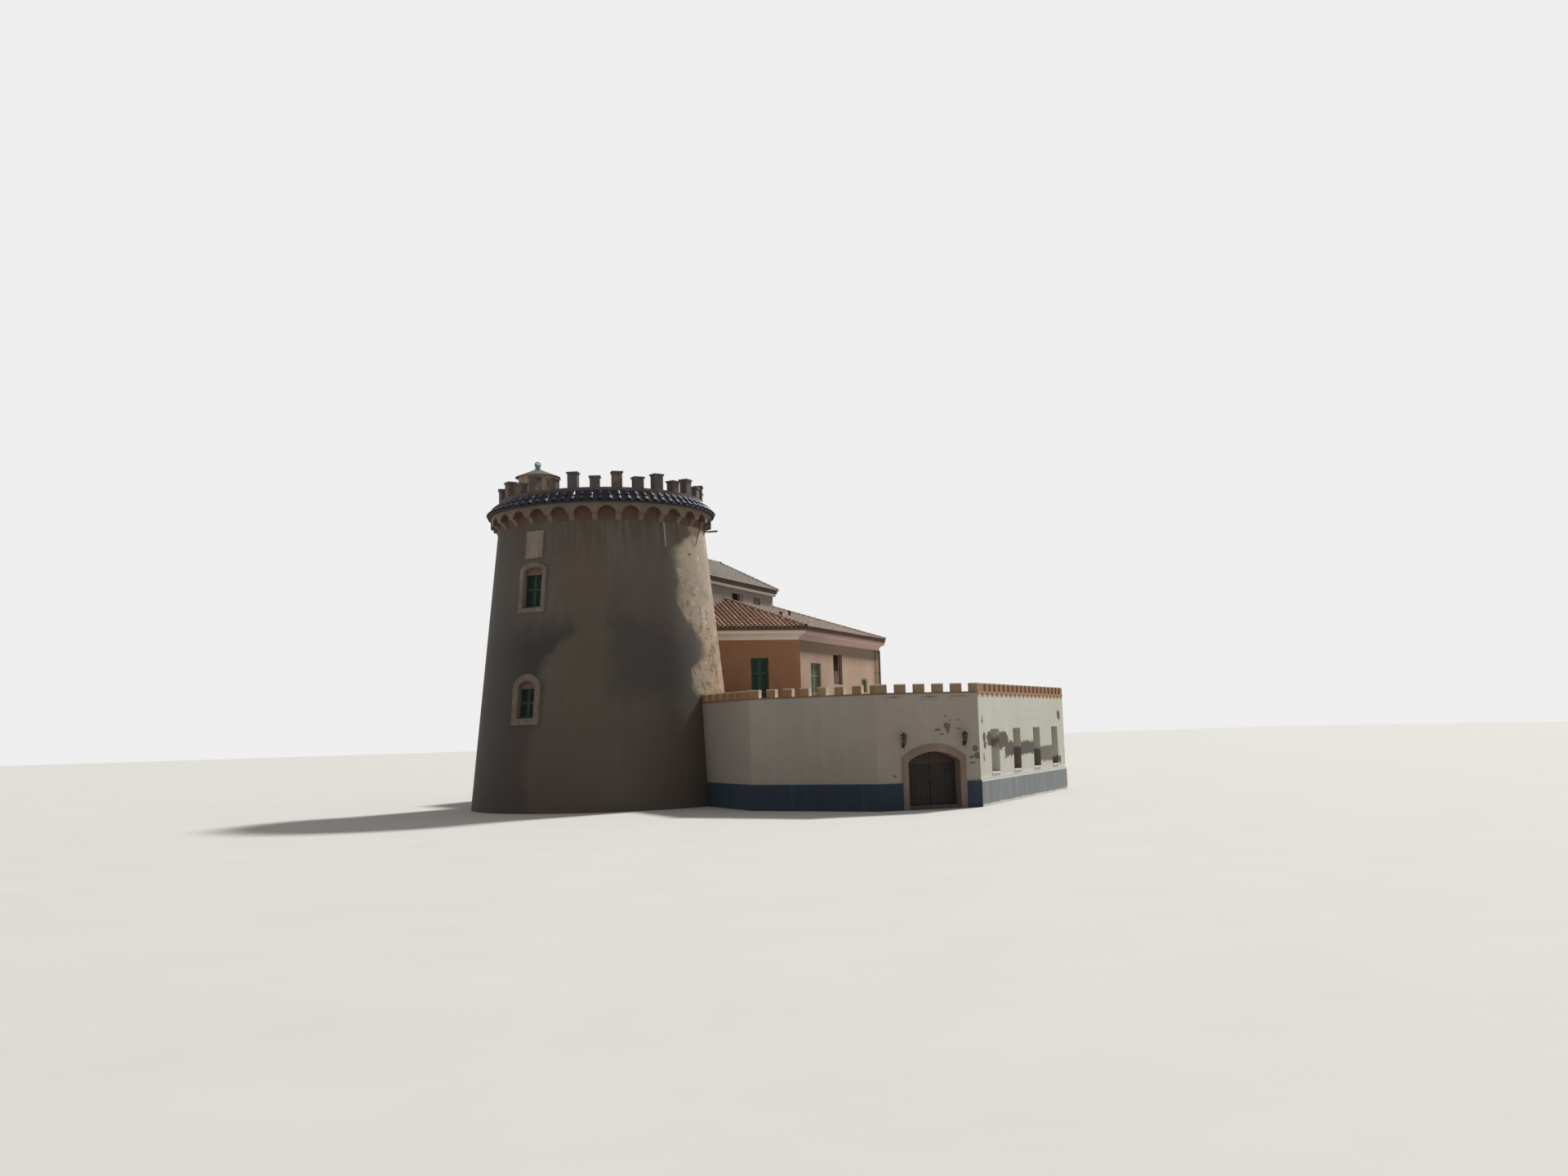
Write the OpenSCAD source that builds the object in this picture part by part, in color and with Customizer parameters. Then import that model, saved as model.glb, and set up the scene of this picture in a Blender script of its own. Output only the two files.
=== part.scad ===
// Martello tower with its joined bastion wing and hexagonal keeper's house.
// Millimetres. The origin is on the tower's axis at ground level, X runs along
// the gate wall and the gate faces -Y.

/* [Tower] */
// Radius of the battered wall at the ground
tower_base_r = 6730; // [6500:10:7000]
// Radius of the wall under the corbels
tower_neck_r = 5320; // [5250:10:5400]
// Height of the battered wall, up to the corbel feet
tower_wall_h = 13870; // [13800:10:14500]
// Radius of the round rooms
tower_room_r = 4000; // [3600:10:4200]
// Height of the tower's window sills above its floors
sill_over_floor = 930; // [800:10:1050]
// Thickness of each tower floor
tower_floor_t = 300; // [200:10:400]

/* [Tower head] */
// Number of corbels, and of merlons over them
corbel_count = 30; // [26:2:32]
// How far the corbels reach out from the wall
corbel_reach = 360; // [280:10:400]
// Thickness of a corbel at its foot
corbel_foot_t = 36; // [20:2:60]
// Height from the corbel feet to the top of the corbel table
corbel_table_h = 830; // [780:10:900]
// Height of the curved corbel under its arch
corbel_foot_h = 230; // [180:10:280]
// Clear width of an arch between two corbels
corbel_arch_w = 880; // [780:10:920]
// Thickness of the roof deck
deck_t = 300; // [200:10:400]
// How far the tiled skirt's eave reaches out from the wall
skirt_reach = 500; // [420:10:560]
// Height of the tiled skirt
skirt_h = 630; // [500:10:700]
// Thickness of the skirt at its eave
skirt_edge_t = 80; // [50:5:120]
// Thickness of the skirt where it meets the parapet
skirt_top_t = 30; // [20:2:50]
// Outer radius of the parapet
parapet_r = 5260; // [5200:10:5310]
// Thickness of the parapet
parapet_t = 400; // [300:10:450]
// Height of the parapet up to the gaps
parapet_h = 800; // [750:10:1000]
// Width of a merlon
merlon_w = 480; // [400:10:560]
// Height of a tall merlon under its cap
tall_merlon_h = 700; // [600:5:800]
// Height of a short merlon under its cap
short_merlon_h = 475; // [400:5:560]
// Height of a merlon's cap slab
merlon_cap_h = 80; // [60:5:110]
// How far a cap slab oversails its merlon
merlon_cap_reach = 45; // [20:5:60]

/* [Stair turret] */
// Distance of the turret from the tower's axis
turret_offset = 3335; // [3200:5:3450]
// Direction of the turret from the tower's axis
turret_dir = 164; // [150:1:180]
// Outer radius of the turret wall
turret_r = 1000; // [900:10:1100]
// Thickness of the turret wall
turret_t = 200; // [150:10:250]
// Height of the turret wall over the deck
turret_wall_h = 2850; // [2600:10:3000]
// How far the turret's eave reaches out
turret_eave = 170; // [120:10:220]
// Rise of the turret's roof
turret_roof_h = 480; // [400:10:600]
// Thickness of the turret's roof
turret_roof_t = 90; // [60:5:120]
// Width of the turret's doorway
turret_door_w = 750; // [650:10:800]
// Height of the turret's doorway
turret_door_h = 1850; // [1750:10:2000]
// Diameter of the finial's ball
finial_d = 240; // [180:10:280]

/* [Tower windows] */
// Direction in which both windows and the plaque face
window_dir = 225; // [222:1:228]
// Width of the upper window
upper_window_w = 1130; // [1000:10:1200]
// Height of the upper window to the crown of its arch
upper_window_h = 2000; // [1900:10:2100]
// Wall between the upper window's crown and the plaque
upper_window_drop = 430; // [380:10:560]
// Rise of the upper window's segmental arch
upper_window_rise = 170; // [120:10:240]
// Width of the upper window's stone surround
upper_surround_w = 225; // [150:5:260]
// Width of the lower window
lower_window_w = 1010; // [900:10:1100]
// Height of the lower window
lower_window_h = 1810; // [1700:10:1900]
// Sill level of the lower window
lower_window_z = 4430; // [4300:10:4600]
// Rise of the lower window's arch
lower_window_rise = 300; // [250:10:350]
// Width of the lower window's stone surround
lower_surround_w = 310; // [200:10:330]
// Depth of the stone surrounds in the wall
surround_depth = 420; // [300:10:500]
// How far the stone surrounds stand proud of the wall
surround_proud = 50; // [30:5:80]
// How far back the shutters are set
shutter_setback = 260; // [200:10:300]
// Thickness of the shutters
shutter_t = 60; // [40:5:80]
// Width of the stone plaque
plaque_w = 1000; // [900:10:1100]
// Height of the stone plaque
plaque_h = 1350; // [1250:10:1400]
// Wall between the plaque and the corbel feet
plaque_drop = 360; // [300:10:420]
// Thickness of the plaque
plaque_t = 130; // [100:10:180]

/* [Wing] */
// X of the left end of the gate wall
gate_wall_x = 9370; // [9200:10:9500]
// Distance from the tower's axis to the gate wall's face
gate_wall_y = 14970; // [14700:10:15200]
// Direction of the wall beside the tower
tower_run_dir = -80.6; // [-82:0.1:-79]
// Length of the angled wall
angled_wall_len = 6350; // [6200:10:6500]
// Direction of the angled wall
angled_wall_dir = -46.7; // [-48:0.1:-45]
// Length of the gate wall
gate_wall_len = 4740; // [4600:10:5000]
// Length of the slotted wall
slotted_wall_len = 14880; // [14500:10:15200]
// Direction of the slotted wall
slotted_wall_dir = 48.5; // [48:0.1:49]
// Distance along the house's axis at which the rear wall meets the house
rear_wall_u = 12600; // [12300:10:12900]
// Thickness of the wing's walls
wing_wall_t = 800; // [700:10:850]
// Level of the wall tops, under the coping
wing_wall_top = 4934; // [4900:1:5200]
// Thickness of the wing's parapet and merlons
wing_parapet_t = 250; // [200:10:300]
// Height of the coping band
coping_h = 66; // [50:1:90]
// How far the coping stands proud of the wall
coping_proud = 25; // [15:5:40]
// Height of the wing's merlons
wing_merlon_h = 370; // [320:10:420]
// Spacing of the merlons on the shaded walls
merlon_pitch = 865; // [840:5:880]
// Spacing of the merlons on the slotted wall
slotted_merlon_pitch = 733; // [720:1:740]
// Share of the spacing that a merlon takes
merlon_share = 0.52; // [0.45:0.01:0.6]
// Distance of the first gap between merlons from the corner, beside the tower
tower_run_crenel = 585; // [500:5:700]
// The same on the angled wall
angled_crenel = 500; // [400:5:560]
// The same on the gate wall
gate_crenel = 540; // [450:5:600]
// The same on the slotted wall
slotted_crenel = 920; // [850:5:980]
// The same on the rear wall
rear_crenel = 560; // [450:5:600]
// Least length of a merlon at a corner
corner_merlon_w = 240; // [200:5:300]
// Level of the terrace over the wing
terrace_z = 4720; // [4600:10:4800]
// Thickness of the terrace slab
terrace_t = 300; // [200:10:350]
// Level of the wing's ground floor
wing_floor_z = 150; // [120:10:200]
// Height of the plinth
plinth_h = 1150; // [1050:10:1200]
// How far the plinth stands proud of the wall
plinth_proud = 50; // [30:5:80]

/* [Gate] */
// X of the middle of the gate
gate_x = 11955; // [11900:5:12000]
// Clear width of the gate's arch
gate_w = 2390; // [2300:10:2450]
// Level of the arch's springing
gate_spring_z = 2035; // [1950:5:2100]
// Rise of the gate's segmental arch
gate_rise = 415; // [350:5:450]
// Width of the stone surround at the jambs
gate_surround_w = 270; // [230:10:300]
// Width of the stone surround round the arch
gate_arch_t = 310; // [280:10:340]
// How far the stone surround stands proud
gate_surround_proud = 40; // [20:5:60]
// Width of the raised moulding along the surround's outer edge
gate_mould_w = 60; // [40:5:90]
// How far the moulding stands over the rest of the surround
gate_mould_proud = 20; // [10:2:30]
// Depth of the stone surround from the wall's face
gate_reveal = 560; // [500:10:600]
// How much wider the recess behind the arch is on each side
gate_rebate = 100; // [80:5:120]
// Level of the top of the recess that the leaves hang in
gate_recess_top = 2560; // [2520:10:2620]
// Thickness of a gate leaf
leaf_t = 80; // [60:5:90]
// Clearance over, under and in front of the leaves
leaf_gap = 8; // [6:1:12]
// Clearance between the leaves and the sides of their recess
leaf_side_gap = 10; // [8:1:14]
// Gap where the two leaves meet
meeting_gap = 16; // [12:1:20]
// Diameter of a hinge pin
hinge_pin_d = 24; // [20:1:30]
// Clearance between a hinge pin and its knuckle
pin_gap = 0.3; // [0.2:0.1:0.5]
// How far a hinge pin stands over its knuckle
pin_over = 10; // [6:1:16]
// Width and height of the lug that carries a hinge pin
pin_lug = 24; // [20:1:30]
// Height of a hinge knuckle
knuckle_h = 90; // [70:5:110]
// Thickness of a knuckle round its pin
knuckle_t = 13; // [10:1:18]
// Level of the lower hinges
hinge_low_z = 600; // [500:10:700]
// Level of the upper hinges
hinge_high_z = 2100; // [1900:10:2150]
// Distance of the hinge pins behind the leaves
hinge_off = 17; // [14:1:24]
// Distance of the hinge pins from the jambs
hinge_in = 32; // [28:1:40]
// Length of a hinge strap from its pin
strap_len = 890; // [700:10:950]
// Thickness of a hinge strap
strap_t = 8; // [6:1:12]
// Height of a rail across the front of a leaf
leaf_rail_h = 180; // [150:5:200]
// Thickness of the rails
leaf_rail_t = 25; // [15:1:30]
// Level of the upper rails
leaf_rail_z = 1700; // [1600:10:1800]
// Distance of the lower rails from the leaves' foot
leaf_rail_foot = 60; // [40:5:100]
// Clearance at the ends of the rails
leaf_rail_gap = 25; // [20:1:40]

/* [Slotted wall windows] */
// Number of windows in the slotted wall
slot_count = 4; // [3:1:4]
// Distance of the first window's middle from the corner
slot_first = 2330; // [2200:10:2400]
// Distance of the last window's middle from the far corner
slot_last = 1960; // [1850:10:2100]
// Width of a window
slot_w = 1250; // [1100:10:1300]
// Sill level of the windows
slot_sill_z = 1350; // [1300:10:1450]
// Height of the windows
slot_h = 1980; // [1850:10:2050]
// How far back the window boards are set
slot_setback = 500; // [400:10:520]
// Height of a window sill
slot_sill_h = 70; // [50:5:90]
// How far the sills stand proud of the wall
slot_sill_proud = 30; // [20:5:50]

/* [House] */
// Direction of the house's long axis, which passes through the tower
house_dir = 52.5; // [52:0.5:53]
// Half of the house's width over its walls
house_half_w = 7770; // [7700:10:7900]
// Distance from the tower's axis to the front corners
house_front_u = 7997; // [7950:1:8100]
// Length of the side walls
house_side_len = 14216; // [14000:1:14400]
// Angle between the end walls and the axis
house_end_angle = 52.5; // [52:0.5:53]
// Thickness of the house walls
house_wall_t = 450; // [400:10:500]
// Level of the house's eave
house_eave_z = 9120; // [9000:10:9300]
// How far the eave reaches out
house_eave = 430; // [380:10:480]
// Rise of the lower roof for each unit of run
house_roof_slope = 0.34; // [0.33:0.01:0.36]
// Thickness of the roofs, measured upright
roof_t = 160; // [120:10:200]
// Height of the coved cornice
cornice_h = 500; // [450:10:560]
// Distance of the cornice's fascia from the eave's edge
cornice_lip = 60; // [40:5:80]
// Width of the flat between the cornice's fascia and its cove
cornice_fillet = 15; // [10:1:25]
// Thickness of the cornice where its cove ends on the wall
cornice_foot_t = 40; // [25:5:60]
// Level of the house's upper floor
house_floor_z = 4720; // [4600:10:4800]
// Thickness of the house's upper floor
house_floor_t = 250; // [200:10:300]
// Sill height of the terrace doors over the terrace
terrace_door_step = 130; // [120:10:160]
// Top level of the end walls' terrace doors
end_door_top = 7475; // [7300:5:7500]
// Width of the end walls' terrace doors
end_door_w = 990; // [900:10:1100]
// Distance of the end door's middle from the corner
end_door_s = 2315; // [2200:5:2400]
// Distance of the side door's middle from the front corner
side_door_s = 2430; // [2300:10:2500]
// Width of the side door
side_door_w = 1590; // [1400:10:1650]
// Top level of the side door
side_door_top = 7250; // [7100:10:7300]
// Distance of the side window's middle from the front corner
side_window_s = 6210; // [6100:10:6300]
// Width of the side window
side_window_w = 1580; // [1400:10:1650]
// Sill level of the side window
side_window_z = 6110; // [6000:10:6200]
// Top level of the side window
side_window_top = 7880; // [7700:10:7950]
// Distance of the small window's middle from the front corner
small_window_s = 11120; // [11000:10:11200]
// Width of the small window
small_window_w = 1070; // [900:10:1150]
// Sill level of the small window
small_window_z = 5720; // [5600:10:5800]
// Top level of the small window
small_window_top = 6580; // [6500:10:6700]
// Thickness of the doors and window boards of the house
joinery_t = 60; // [40:5:80]
// How far back the doors and windows of the house are set
joinery_setback = 150; // [120:10:200]

/* [Clerestory] */
// Half of the clerestory's width over its walls
clerestory_half_w = 2070; // [2000:10:2150]
// Distance from the tower's axis to the clerestory's near wall
clerestory_near_u = 6785; // [6700:5:6850]
// Length of the clerestory
clerestory_len = 11523; // [11400:1:11550]
// Thickness of the clerestory's walls
clerestory_t = 300; // [250:10:350]
// Level of the clerestory's eave
clerestory_eave_z = 12360; // [12300:10:12500]
// How far the clerestory's eave reaches out
clerestory_eave = 230; // [180:10:280]
// Level of the clerestory's ridge
clerestory_ridge_z = 13850; // [13700:10:13900]
// Run of the hipped ends
clerestory_hip_run = 3760; // [3500:10:3900]
// How far the clerestory's walls reach below the house's roof
clerestory_sink = 300; // [200:10:350]
// Distance of the first clerestory window's middle from the near wall
clerestory_window_first = 5585; // [5400:5:5700]
// Spacing of the clerestory windows
clerestory_window_pitch = 3350; // [3200:10:3500]
// Sill height of the clerestory windows over the foot of their wall
clerestory_window_sill = 400; // [350:10:450]
// How far back the clerestory's window boards are set
clerestory_setback = 120; // [80:10:150]
// Width of a clerestory window
clerestory_window_w = 1000; // [900:10:1100]
// Height of a clerestory window
clerestory_window_h = 600; // [500:10:620]

/* [Wall fittings] */
// Diameter of the downpipe
downpipe_d = 110; // [90:5:125]
// Distance of the downpipe from the rear corner of the long wall
downpipe_s = 110; // [90:5:150]
// Diameter of the thin pipe beside it
thin_pipe_d = 50; // [40:5:60]
// Distance of the thin pipe from the rear corner of the long wall
thin_pipe_s = 880; // [800:10:950]
// Gap between the pipes and the wall
pipe_wall_gap = 35; // [30:5:50]
// Level of the pipes' feet
pipe_foot_z = 200; // [150:10:300]
// Level of the lowest pipe bracket
pipe_bracket_z = 1000; // [900:10:1200]
// Spacing of the pipe brackets
pipe_bracket_pitch = 3000; // [2500:50:3200]
// Height of the collars that hold the pipes
pipe_collar_h = 60; // [50:2:80]
// Thickness of the collars
pipe_collar_t = 8; // [5:1:12]
// Width of the brackets behind the collars
pipe_bracket_w = 30; // [20:2:40]
// Height of the brackets
pipe_bracket_h = 40; // [30:2:50]
// Height of a wall lantern's cage
lantern_h = 420; // [360:10:460]
// Width of the cage at its top, under the cap
lantern_w = 240; // [200:10:260]
// Width of the cage at its foot
lantern_foot_w = 120; // [100:5:140]
// Width of the cap
lantern_cap_w = 270; // [250:5:300]
// Height of the cap
lantern_cap_h = 80; // [60:5:100]
// Diameter of the ball under the cage and of the knob on the cap
lantern_ball_d = 56; // [50:2:70]
// Length of the tapered stem under the cage
lantern_stem_h = 260; // [220:10:300]
// Level of the middle of the cages
lantern_z = 2980; // [2950:10:3050]
// Distance of the lanterns from the middle of the gate
lantern_off = 1410; // [1380:10:1450]
// Distance of the lanterns from the wall
lantern_arm = 190; // [170:5:220]
// Thickness of the arm and of the wall plate
lantern_arm_t = 20; // [15:1:25]
// Height of the wall plate
lantern_plate_h = 200; // [160:10:240]
// Width of the wall plate
lantern_plate_w = 90; // [70:5:120]

/* [Fits] */
// Clearance between pieces that lie against each other
fit_gap = 0.5; // [0.3:0.1:0.8]

/* [Hidden] */
$fn = 96;
// Facets of the large curves: the tower and the gate's arch
large_fn = 720;
// The round wall is built in six segments
tower_segments = 6;

far = 60000;
eps = 1;

function dir(a) = [cos(a), sin(a)];
function unit(v) = v / norm(v);
function right_of(v) = [v[1], -v[0]];
function reversed(list) = [for (i = [len(list) - 1 : -1 : 0]) list[i]];

// Tower
batter = (tower_base_r - tower_neck_r) / tower_wall_h;
batter_angle = atan(batter);
segment_angle = 360 / tower_segments;
corbel_angle = 360 / corbel_count;
corbel_top_z = tower_wall_h + corbel_table_h;
corbel_r = tower_neck_r + corbel_reach;
corbel_hollow_r = corbel_reach - corbel_foot_t;
deck_z = tower_wall_h + deck_t;
parapet_in_r = parapet_r - parapet_t;
parapet_top_z = corbel_top_z + parapet_h;
plaque_z = tower_wall_h - plaque_drop - plaque_h;
upper_window_z = plaque_z - upper_window_drop - upper_window_h;
tower_floor_levels = [lower_window_z - sill_over_floor, upper_window_z - sill_over_floor];
function tower_r(z) = tower_base_r - batter * z;

// House, in its own frame: U along the axis away from the tower, V to the left
house_back_u = house_front_u + house_side_len;
corner_shift = tan((90 - (90 - house_end_angle)) / 2);
function house_plan(d) = let (
    w = house_half_w + d,
    front = house_front_u - d * corner_shift,
    back = house_back_u + d * corner_shift,
    point = w / tan(house_end_angle)
) [[front - point, 0], [front, -w], [back, -w], [back + point, 0], [back, w], [front, w]];
house_eave_plan = house_plan(house_eave);
roof_under_z = house_eave_z - roof_t;
house_corners = len(house_eave_plan);
function house_to_world(p) = [
    p[0] * cos(house_dir) - p[1] * sin(house_dir),
    p[0] * sin(house_dir) + p[1] * cos(house_dir)
];

// Wing outline, from the tower round to the house
corner_gate_left = [gate_wall_x, -gate_wall_y];
corner_gate_right = corner_gate_left + [gate_wall_len, 0];
corner_angled = corner_gate_left - angled_wall_len * dir(angled_wall_dir);
wing_start = corner_angled - (corner_angled * dir(tower_run_dir)) * dir(tower_run_dir);
corner_rear = corner_gate_right + slotted_wall_len * dir(slotted_wall_dir);
rear_meets_house = house_to_world([rear_wall_u, -house_half_w]);
rear_dir = unit(rear_meets_house - corner_rear);
wing_end = rear_meets_house + house_wall_t * rear_dir;
wing_line = [wing_start, corner_angled, corner_gate_left, corner_gate_right, corner_rear, wing_end];
wing_count = len(wing_line);

// Radius of a segmental arch, and the rise of one that runs t outside it
function arc_r(w, rise) = (w * w / 4 + rise * rise) / (2 * rise);
function outer_rise(w, rise, t) = let (r = arc_r(w, rise) + t) r - sqrt(r * r - pow(w / 2 + t, 2));

// Point i of the wing's outline, moved outwards by d with mitred corners
function wing_normal(i) = right_of(unit(wing_line[i + 1] - wing_line[i]));
function wing_point(i, d) =
    i == 0 ? wing_line[0] + d * wing_normal(0) :
    i == wing_count - 1 ? wing_line[i] + d * wing_normal(i - 1) :
    let (a = wing_normal(i - 1), b = wing_normal(i))
    wing_line[i] + d * (a + b) / (1 + a * b);
function wing_strip(first, last, outer, inner) = concat(
    [for (i = [first : last]) wing_point(i, outer)],
    reversed([for (i = [first : last]) wing_point(i, -inner)])
);
function wing_area(inset) = concat(
    [for (i = [0 : wing_count - 1]) wing_point(i, -inset)],
    [house_to_world([house_front_u - house_half_w / 2, 0]), [0, 0]]
);
crenel_z = wing_wall_top + coping_h;
slab_under_z = terrace_z - terrace_t;

// Gate
gate_arch_r = arc_r(gate_w, gate_rise);
gate_arch_z = gate_spring_z + gate_rise - gate_arch_r;
gate_outer_w = gate_w + 2 * gate_surround_w;
gate_recess_w = gate_w + 2 * gate_rebate;
gate_face_y = -gate_wall_y;
leaf_w = (gate_recess_w - 2 * leaf_side_gap - meeting_gap) / 2;
leaf_y = gate_face_y + gate_reveal + leaf_gap;
leaf_z = wing_floor_z + leaf_gap;
leaf_h = gate_recess_top - wing_floor_z - 2 * leaf_gap;
hinge_y = leaf_y + leaf_t + hinge_off;
hinge_x = gate_recess_w / 2 - hinge_in;
hinge_levels = [hinge_low_z, hinge_high_z];

// Body of the tower's wall without its rooms
module tower_mass() {
    cylinder(r1 = tower_base_r, r2 = tower_neck_r, h = tower_wall_h, $fn = large_fn);
}

// What the tower takes out of the pieces that meet it
module tower_cut() {
    cylinder(r1 = tower_base_r + fit_gap, r2 = tower_neck_r + fit_gap, h = tower_wall_h, $fn = large_fn);
}

// Upright wedge of plan, centred on a direction
module wedge(angle, width_angle, reach, height) {
    half = width_angle / 2;
    rotate([0, 0, angle])
        linear_extrude(height)
            polygon([[0, 0], reach * dir(-half), reach * dir(0) / cos(half), reach * dir(half)]);
}

// Local frame at the face of the battered wall: X out, Y along, Z up the slope
module on_tower_face(z) {
    rotate([0, 0, window_dir])
        translate([tower_r(z), 0, z])
            rotate([0, -batter_angle, 0])
                children();
}

// Upright outline with a segmental arch, standing on the local XY plane
module arched_outline(w, h, rise) {
    r = arc_r(w, rise);
    intersection() {
        translate([-w / 2, 0]) square([w, h]);
        union() {
            translate([-w / 2, 0]) square([w, h - rise]);
            translate([0, h - r]) circle(r);
        }
    }
}

// Turns an upright outline to face out along X, from x0 back to x0 - depth
module facing_out(x0, depth) {
    translate([x0 - depth, 0, 0])
        rotate([90, 0, 90])
            linear_extrude(depth)
                children();
}

// Stone round an arched opening, t wide on all sides
module surround_outline(w, h, rise, t) {
    translate([0, -t]) arched_outline(w + 2 * t, h + 2 * t, outer_rise(w, rise, t));
}

module upper_window_outline() {
    arched_outline(upper_window_w, upper_window_h, upper_window_rise);
}

module upper_surround_outline() {
    surround_outline(upper_window_w, upper_window_h, upper_window_rise, upper_surround_w);
}

module lower_window_outline() {
    arched_outline(lower_window_w, lower_window_h, lower_window_rise);
}

module lower_surround_outline() {
    surround_outline(lower_window_w, lower_window_h, lower_window_rise, lower_surround_w);
}

module plaque_outline() {
    translate([-plaque_w / 2, 0]) square([plaque_w, plaque_h]);
}

module window_cuts() {
    on_tower_face(upper_window_z) {
        facing_out(surround_proud + eps, surround_depth + surround_proud + eps)
            upper_surround_outline();
        facing_out(0, 2 * (tower_base_r - tower_room_r)) upper_window_outline();
    }
    on_tower_face(lower_window_z) {
        facing_out(surround_proud + eps, surround_depth + surround_proud + eps)
            lower_surround_outline();
        facing_out(0, 2 * (tower_base_r - tower_room_r)) lower_window_outline();
    }
    on_tower_face(plaque_z)
        facing_out(surround_proud + eps, plaque_t + eps) plaque_outline();
}

module tower_segment(angle) {
    color("dimgray")
        difference() {
            intersection() {
                tower_mass();
                wedge(angle, segment_angle, far / 4, tower_wall_h);
            }
            translate([0, 0, -eps]) cylinder(r = tower_room_r, h = tower_wall_h + 2 * eps, $fn = large_fn);
            if (angle == window_dir) window_cuts();
        }
}

module tower_floors() {
    color("tan") {
        cylinder(r = tower_room_r, h = wing_floor_z, $fn = large_fn);
        for (z = tower_floor_levels)
            translate([0, 0, z - tower_floor_t])
                cylinder(r = tower_room_r, h = tower_floor_t, $fn = large_fn);
    }
}

module roof_deck() {
    color("tan")
        translate([0, 0, tower_wall_h])
            cylinder(r = parapet_in_r, h = deck_t, $fn = large_fn);
}

// Ring of corbels, quarter round below, joined by small round arches
module corbel_table() {
    arch_r = corbel_arch_w / 2;
    spring_z = tower_wall_h + corbel_foot_h;
    color("rosybrown")
        difference() {
            rotate_extrude($fn = large_fn)
                difference() {
                    translate([parapet_in_r, tower_wall_h])
                        square([corbel_r - parapet_in_r, corbel_table_h]);
                    translate([corbel_r, tower_wall_h]) circle(corbel_hollow_r);
                }
            for (i = [0 : corbel_count - 1])
                rotate([0, 0, (i + 0.5) * corbel_angle - 90])
                    facing_out(corbel_r + eps, corbel_reach + eps)
                        union() {
                            translate([0, spring_z]) circle(arch_r);
                            translate([-arch_r, tower_wall_h - eps])
                                square([corbel_arch_w, corbel_foot_h + eps]);
                        }
        }
}

module tiled_skirt() {
    color("midnightblue")
        rotate_extrude($fn = large_fn)
            polygon([
                [parapet_r, corbel_top_z],
                [tower_neck_r + skirt_reach, corbel_top_z],
                [tower_neck_r + skirt_reach, corbel_top_z + skirt_edge_t],
                [parapet_r + skirt_top_t, corbel_top_z + skirt_h],
                [parapet_r, corbel_top_z + skirt_h]
            ]);
}

module parapet() {
    color("sienna")
        translate([0, 0, corbel_top_z])
            difference() {
                cylinder(r = parapet_r, h = parapet_h, $fn = large_fn);
                translate([0, 0, -eps])
                    cylinder(r = parapet_in_r, h = parapet_h + 2 * eps, $fn = large_fn);
            }
}

// Merlons stand over the corbels; every other one is tall
function merlon_h(i) = i % 2 == 0 ? tall_merlon_h : short_merlon_h;

module parapet_merlons() {
    color("sienna")
        intersection() {
            for (i = [0 : corbel_count - 1])
                rotate([0, 0, i * corbel_angle - 90])
                    translate([parapet_in_r - parapet_t, -merlon_w / 2, parapet_top_z + fit_gap])
                        cube([3 * parapet_t, merlon_w, merlon_h(i) - fit_gap]);
            difference() {
                cylinder(r = parapet_r, h = far, $fn = large_fn);
                translate([0, 0, -eps])
                    cylinder(r = parapet_in_r, h = far + 2 * eps, $fn = large_fn);
            }
        }
}

module merlon_caps() {
    w = merlon_w + 2 * merlon_cap_reach;
    color("peru")
        intersection() {
            for (i = [0 : corbel_count - 1])
                rotate([0, 0, i * corbel_angle - 90])
                    translate([parapet_in_r - parapet_t, -w / 2, parapet_top_z + merlon_h(i)])
                        cube([3 * parapet_t, w, merlon_cap_h]);
            difference() {
                cylinder(r = parapet_r + merlon_cap_reach, h = far, $fn = large_fn);
                translate([0, 0, -eps])
                    cylinder(r = parapet_in_r - merlon_cap_reach, h = far + 2 * eps, $fn = large_fn);
            }
        }
}

// Stair turret on the deck, with its doorway towards the middle of the deck
module at_turret(z) {
    rotate([0, 0, turret_dir])
        translate([turret_offset, 0, z])
            children();
}

module turret_wall() {
    color("wheat")
        at_turret(deck_z)
            difference() {
                cylinder(r = turret_r, h = turret_wall_h);
                translate([0, 0, -eps]) cylinder(r = turret_r - turret_t, h = turret_wall_h + 2 * eps);
                translate([-turret_r - eps, -turret_door_w / 2, -eps])
                    cube([turret_r, turret_door_w, turret_door_h]);
            }
}

module turret_roof() {
    r = turret_r + turret_eave;
    color("olivedrab")
        at_turret(deck_z + turret_wall_h)
            difference() {
                cylinder(r1 = r, r2 = finial_d / 6, h = turret_roof_h);
                translate([0, 0, -eps])
                    cylinder(r1 = turret_r - turret_t, r2 = finial_d / 6,
                        h = turret_roof_h - turret_roof_t);
            }
}

module turret_finial() {
    color("teal")
        at_turret(deck_z + turret_wall_h + turret_roof_h)
            union() {
                cylinder(d = finial_d / 3, h = finial_d / 2);
                translate([0, 0, finial_d * 0.75]) sphere(d = finial_d);
            }
}

module window_surrounds() {
    depth = surround_depth + surround_proud;
    color("tan") {
        on_tower_face(upper_window_z)
            difference() {
                facing_out(surround_proud, depth) upper_surround_outline();
                facing_out(surround_proud + eps, depth + 2 * eps) upper_window_outline();
            }
        on_tower_face(lower_window_z)
            difference() {
                facing_out(surround_proud, depth) lower_surround_outline();
                facing_out(surround_proud + eps, depth + 2 * eps) lower_window_outline();
            }
    }
}

module window_shutters() {
    color("darkslategray") {
        on_tower_face(upper_window_z)
            facing_out(-shutter_setback, shutter_t) upper_window_outline();
        on_tower_face(lower_window_z)
            facing_out(-shutter_setback, shutter_t) lower_window_outline();
    }
}

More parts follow.
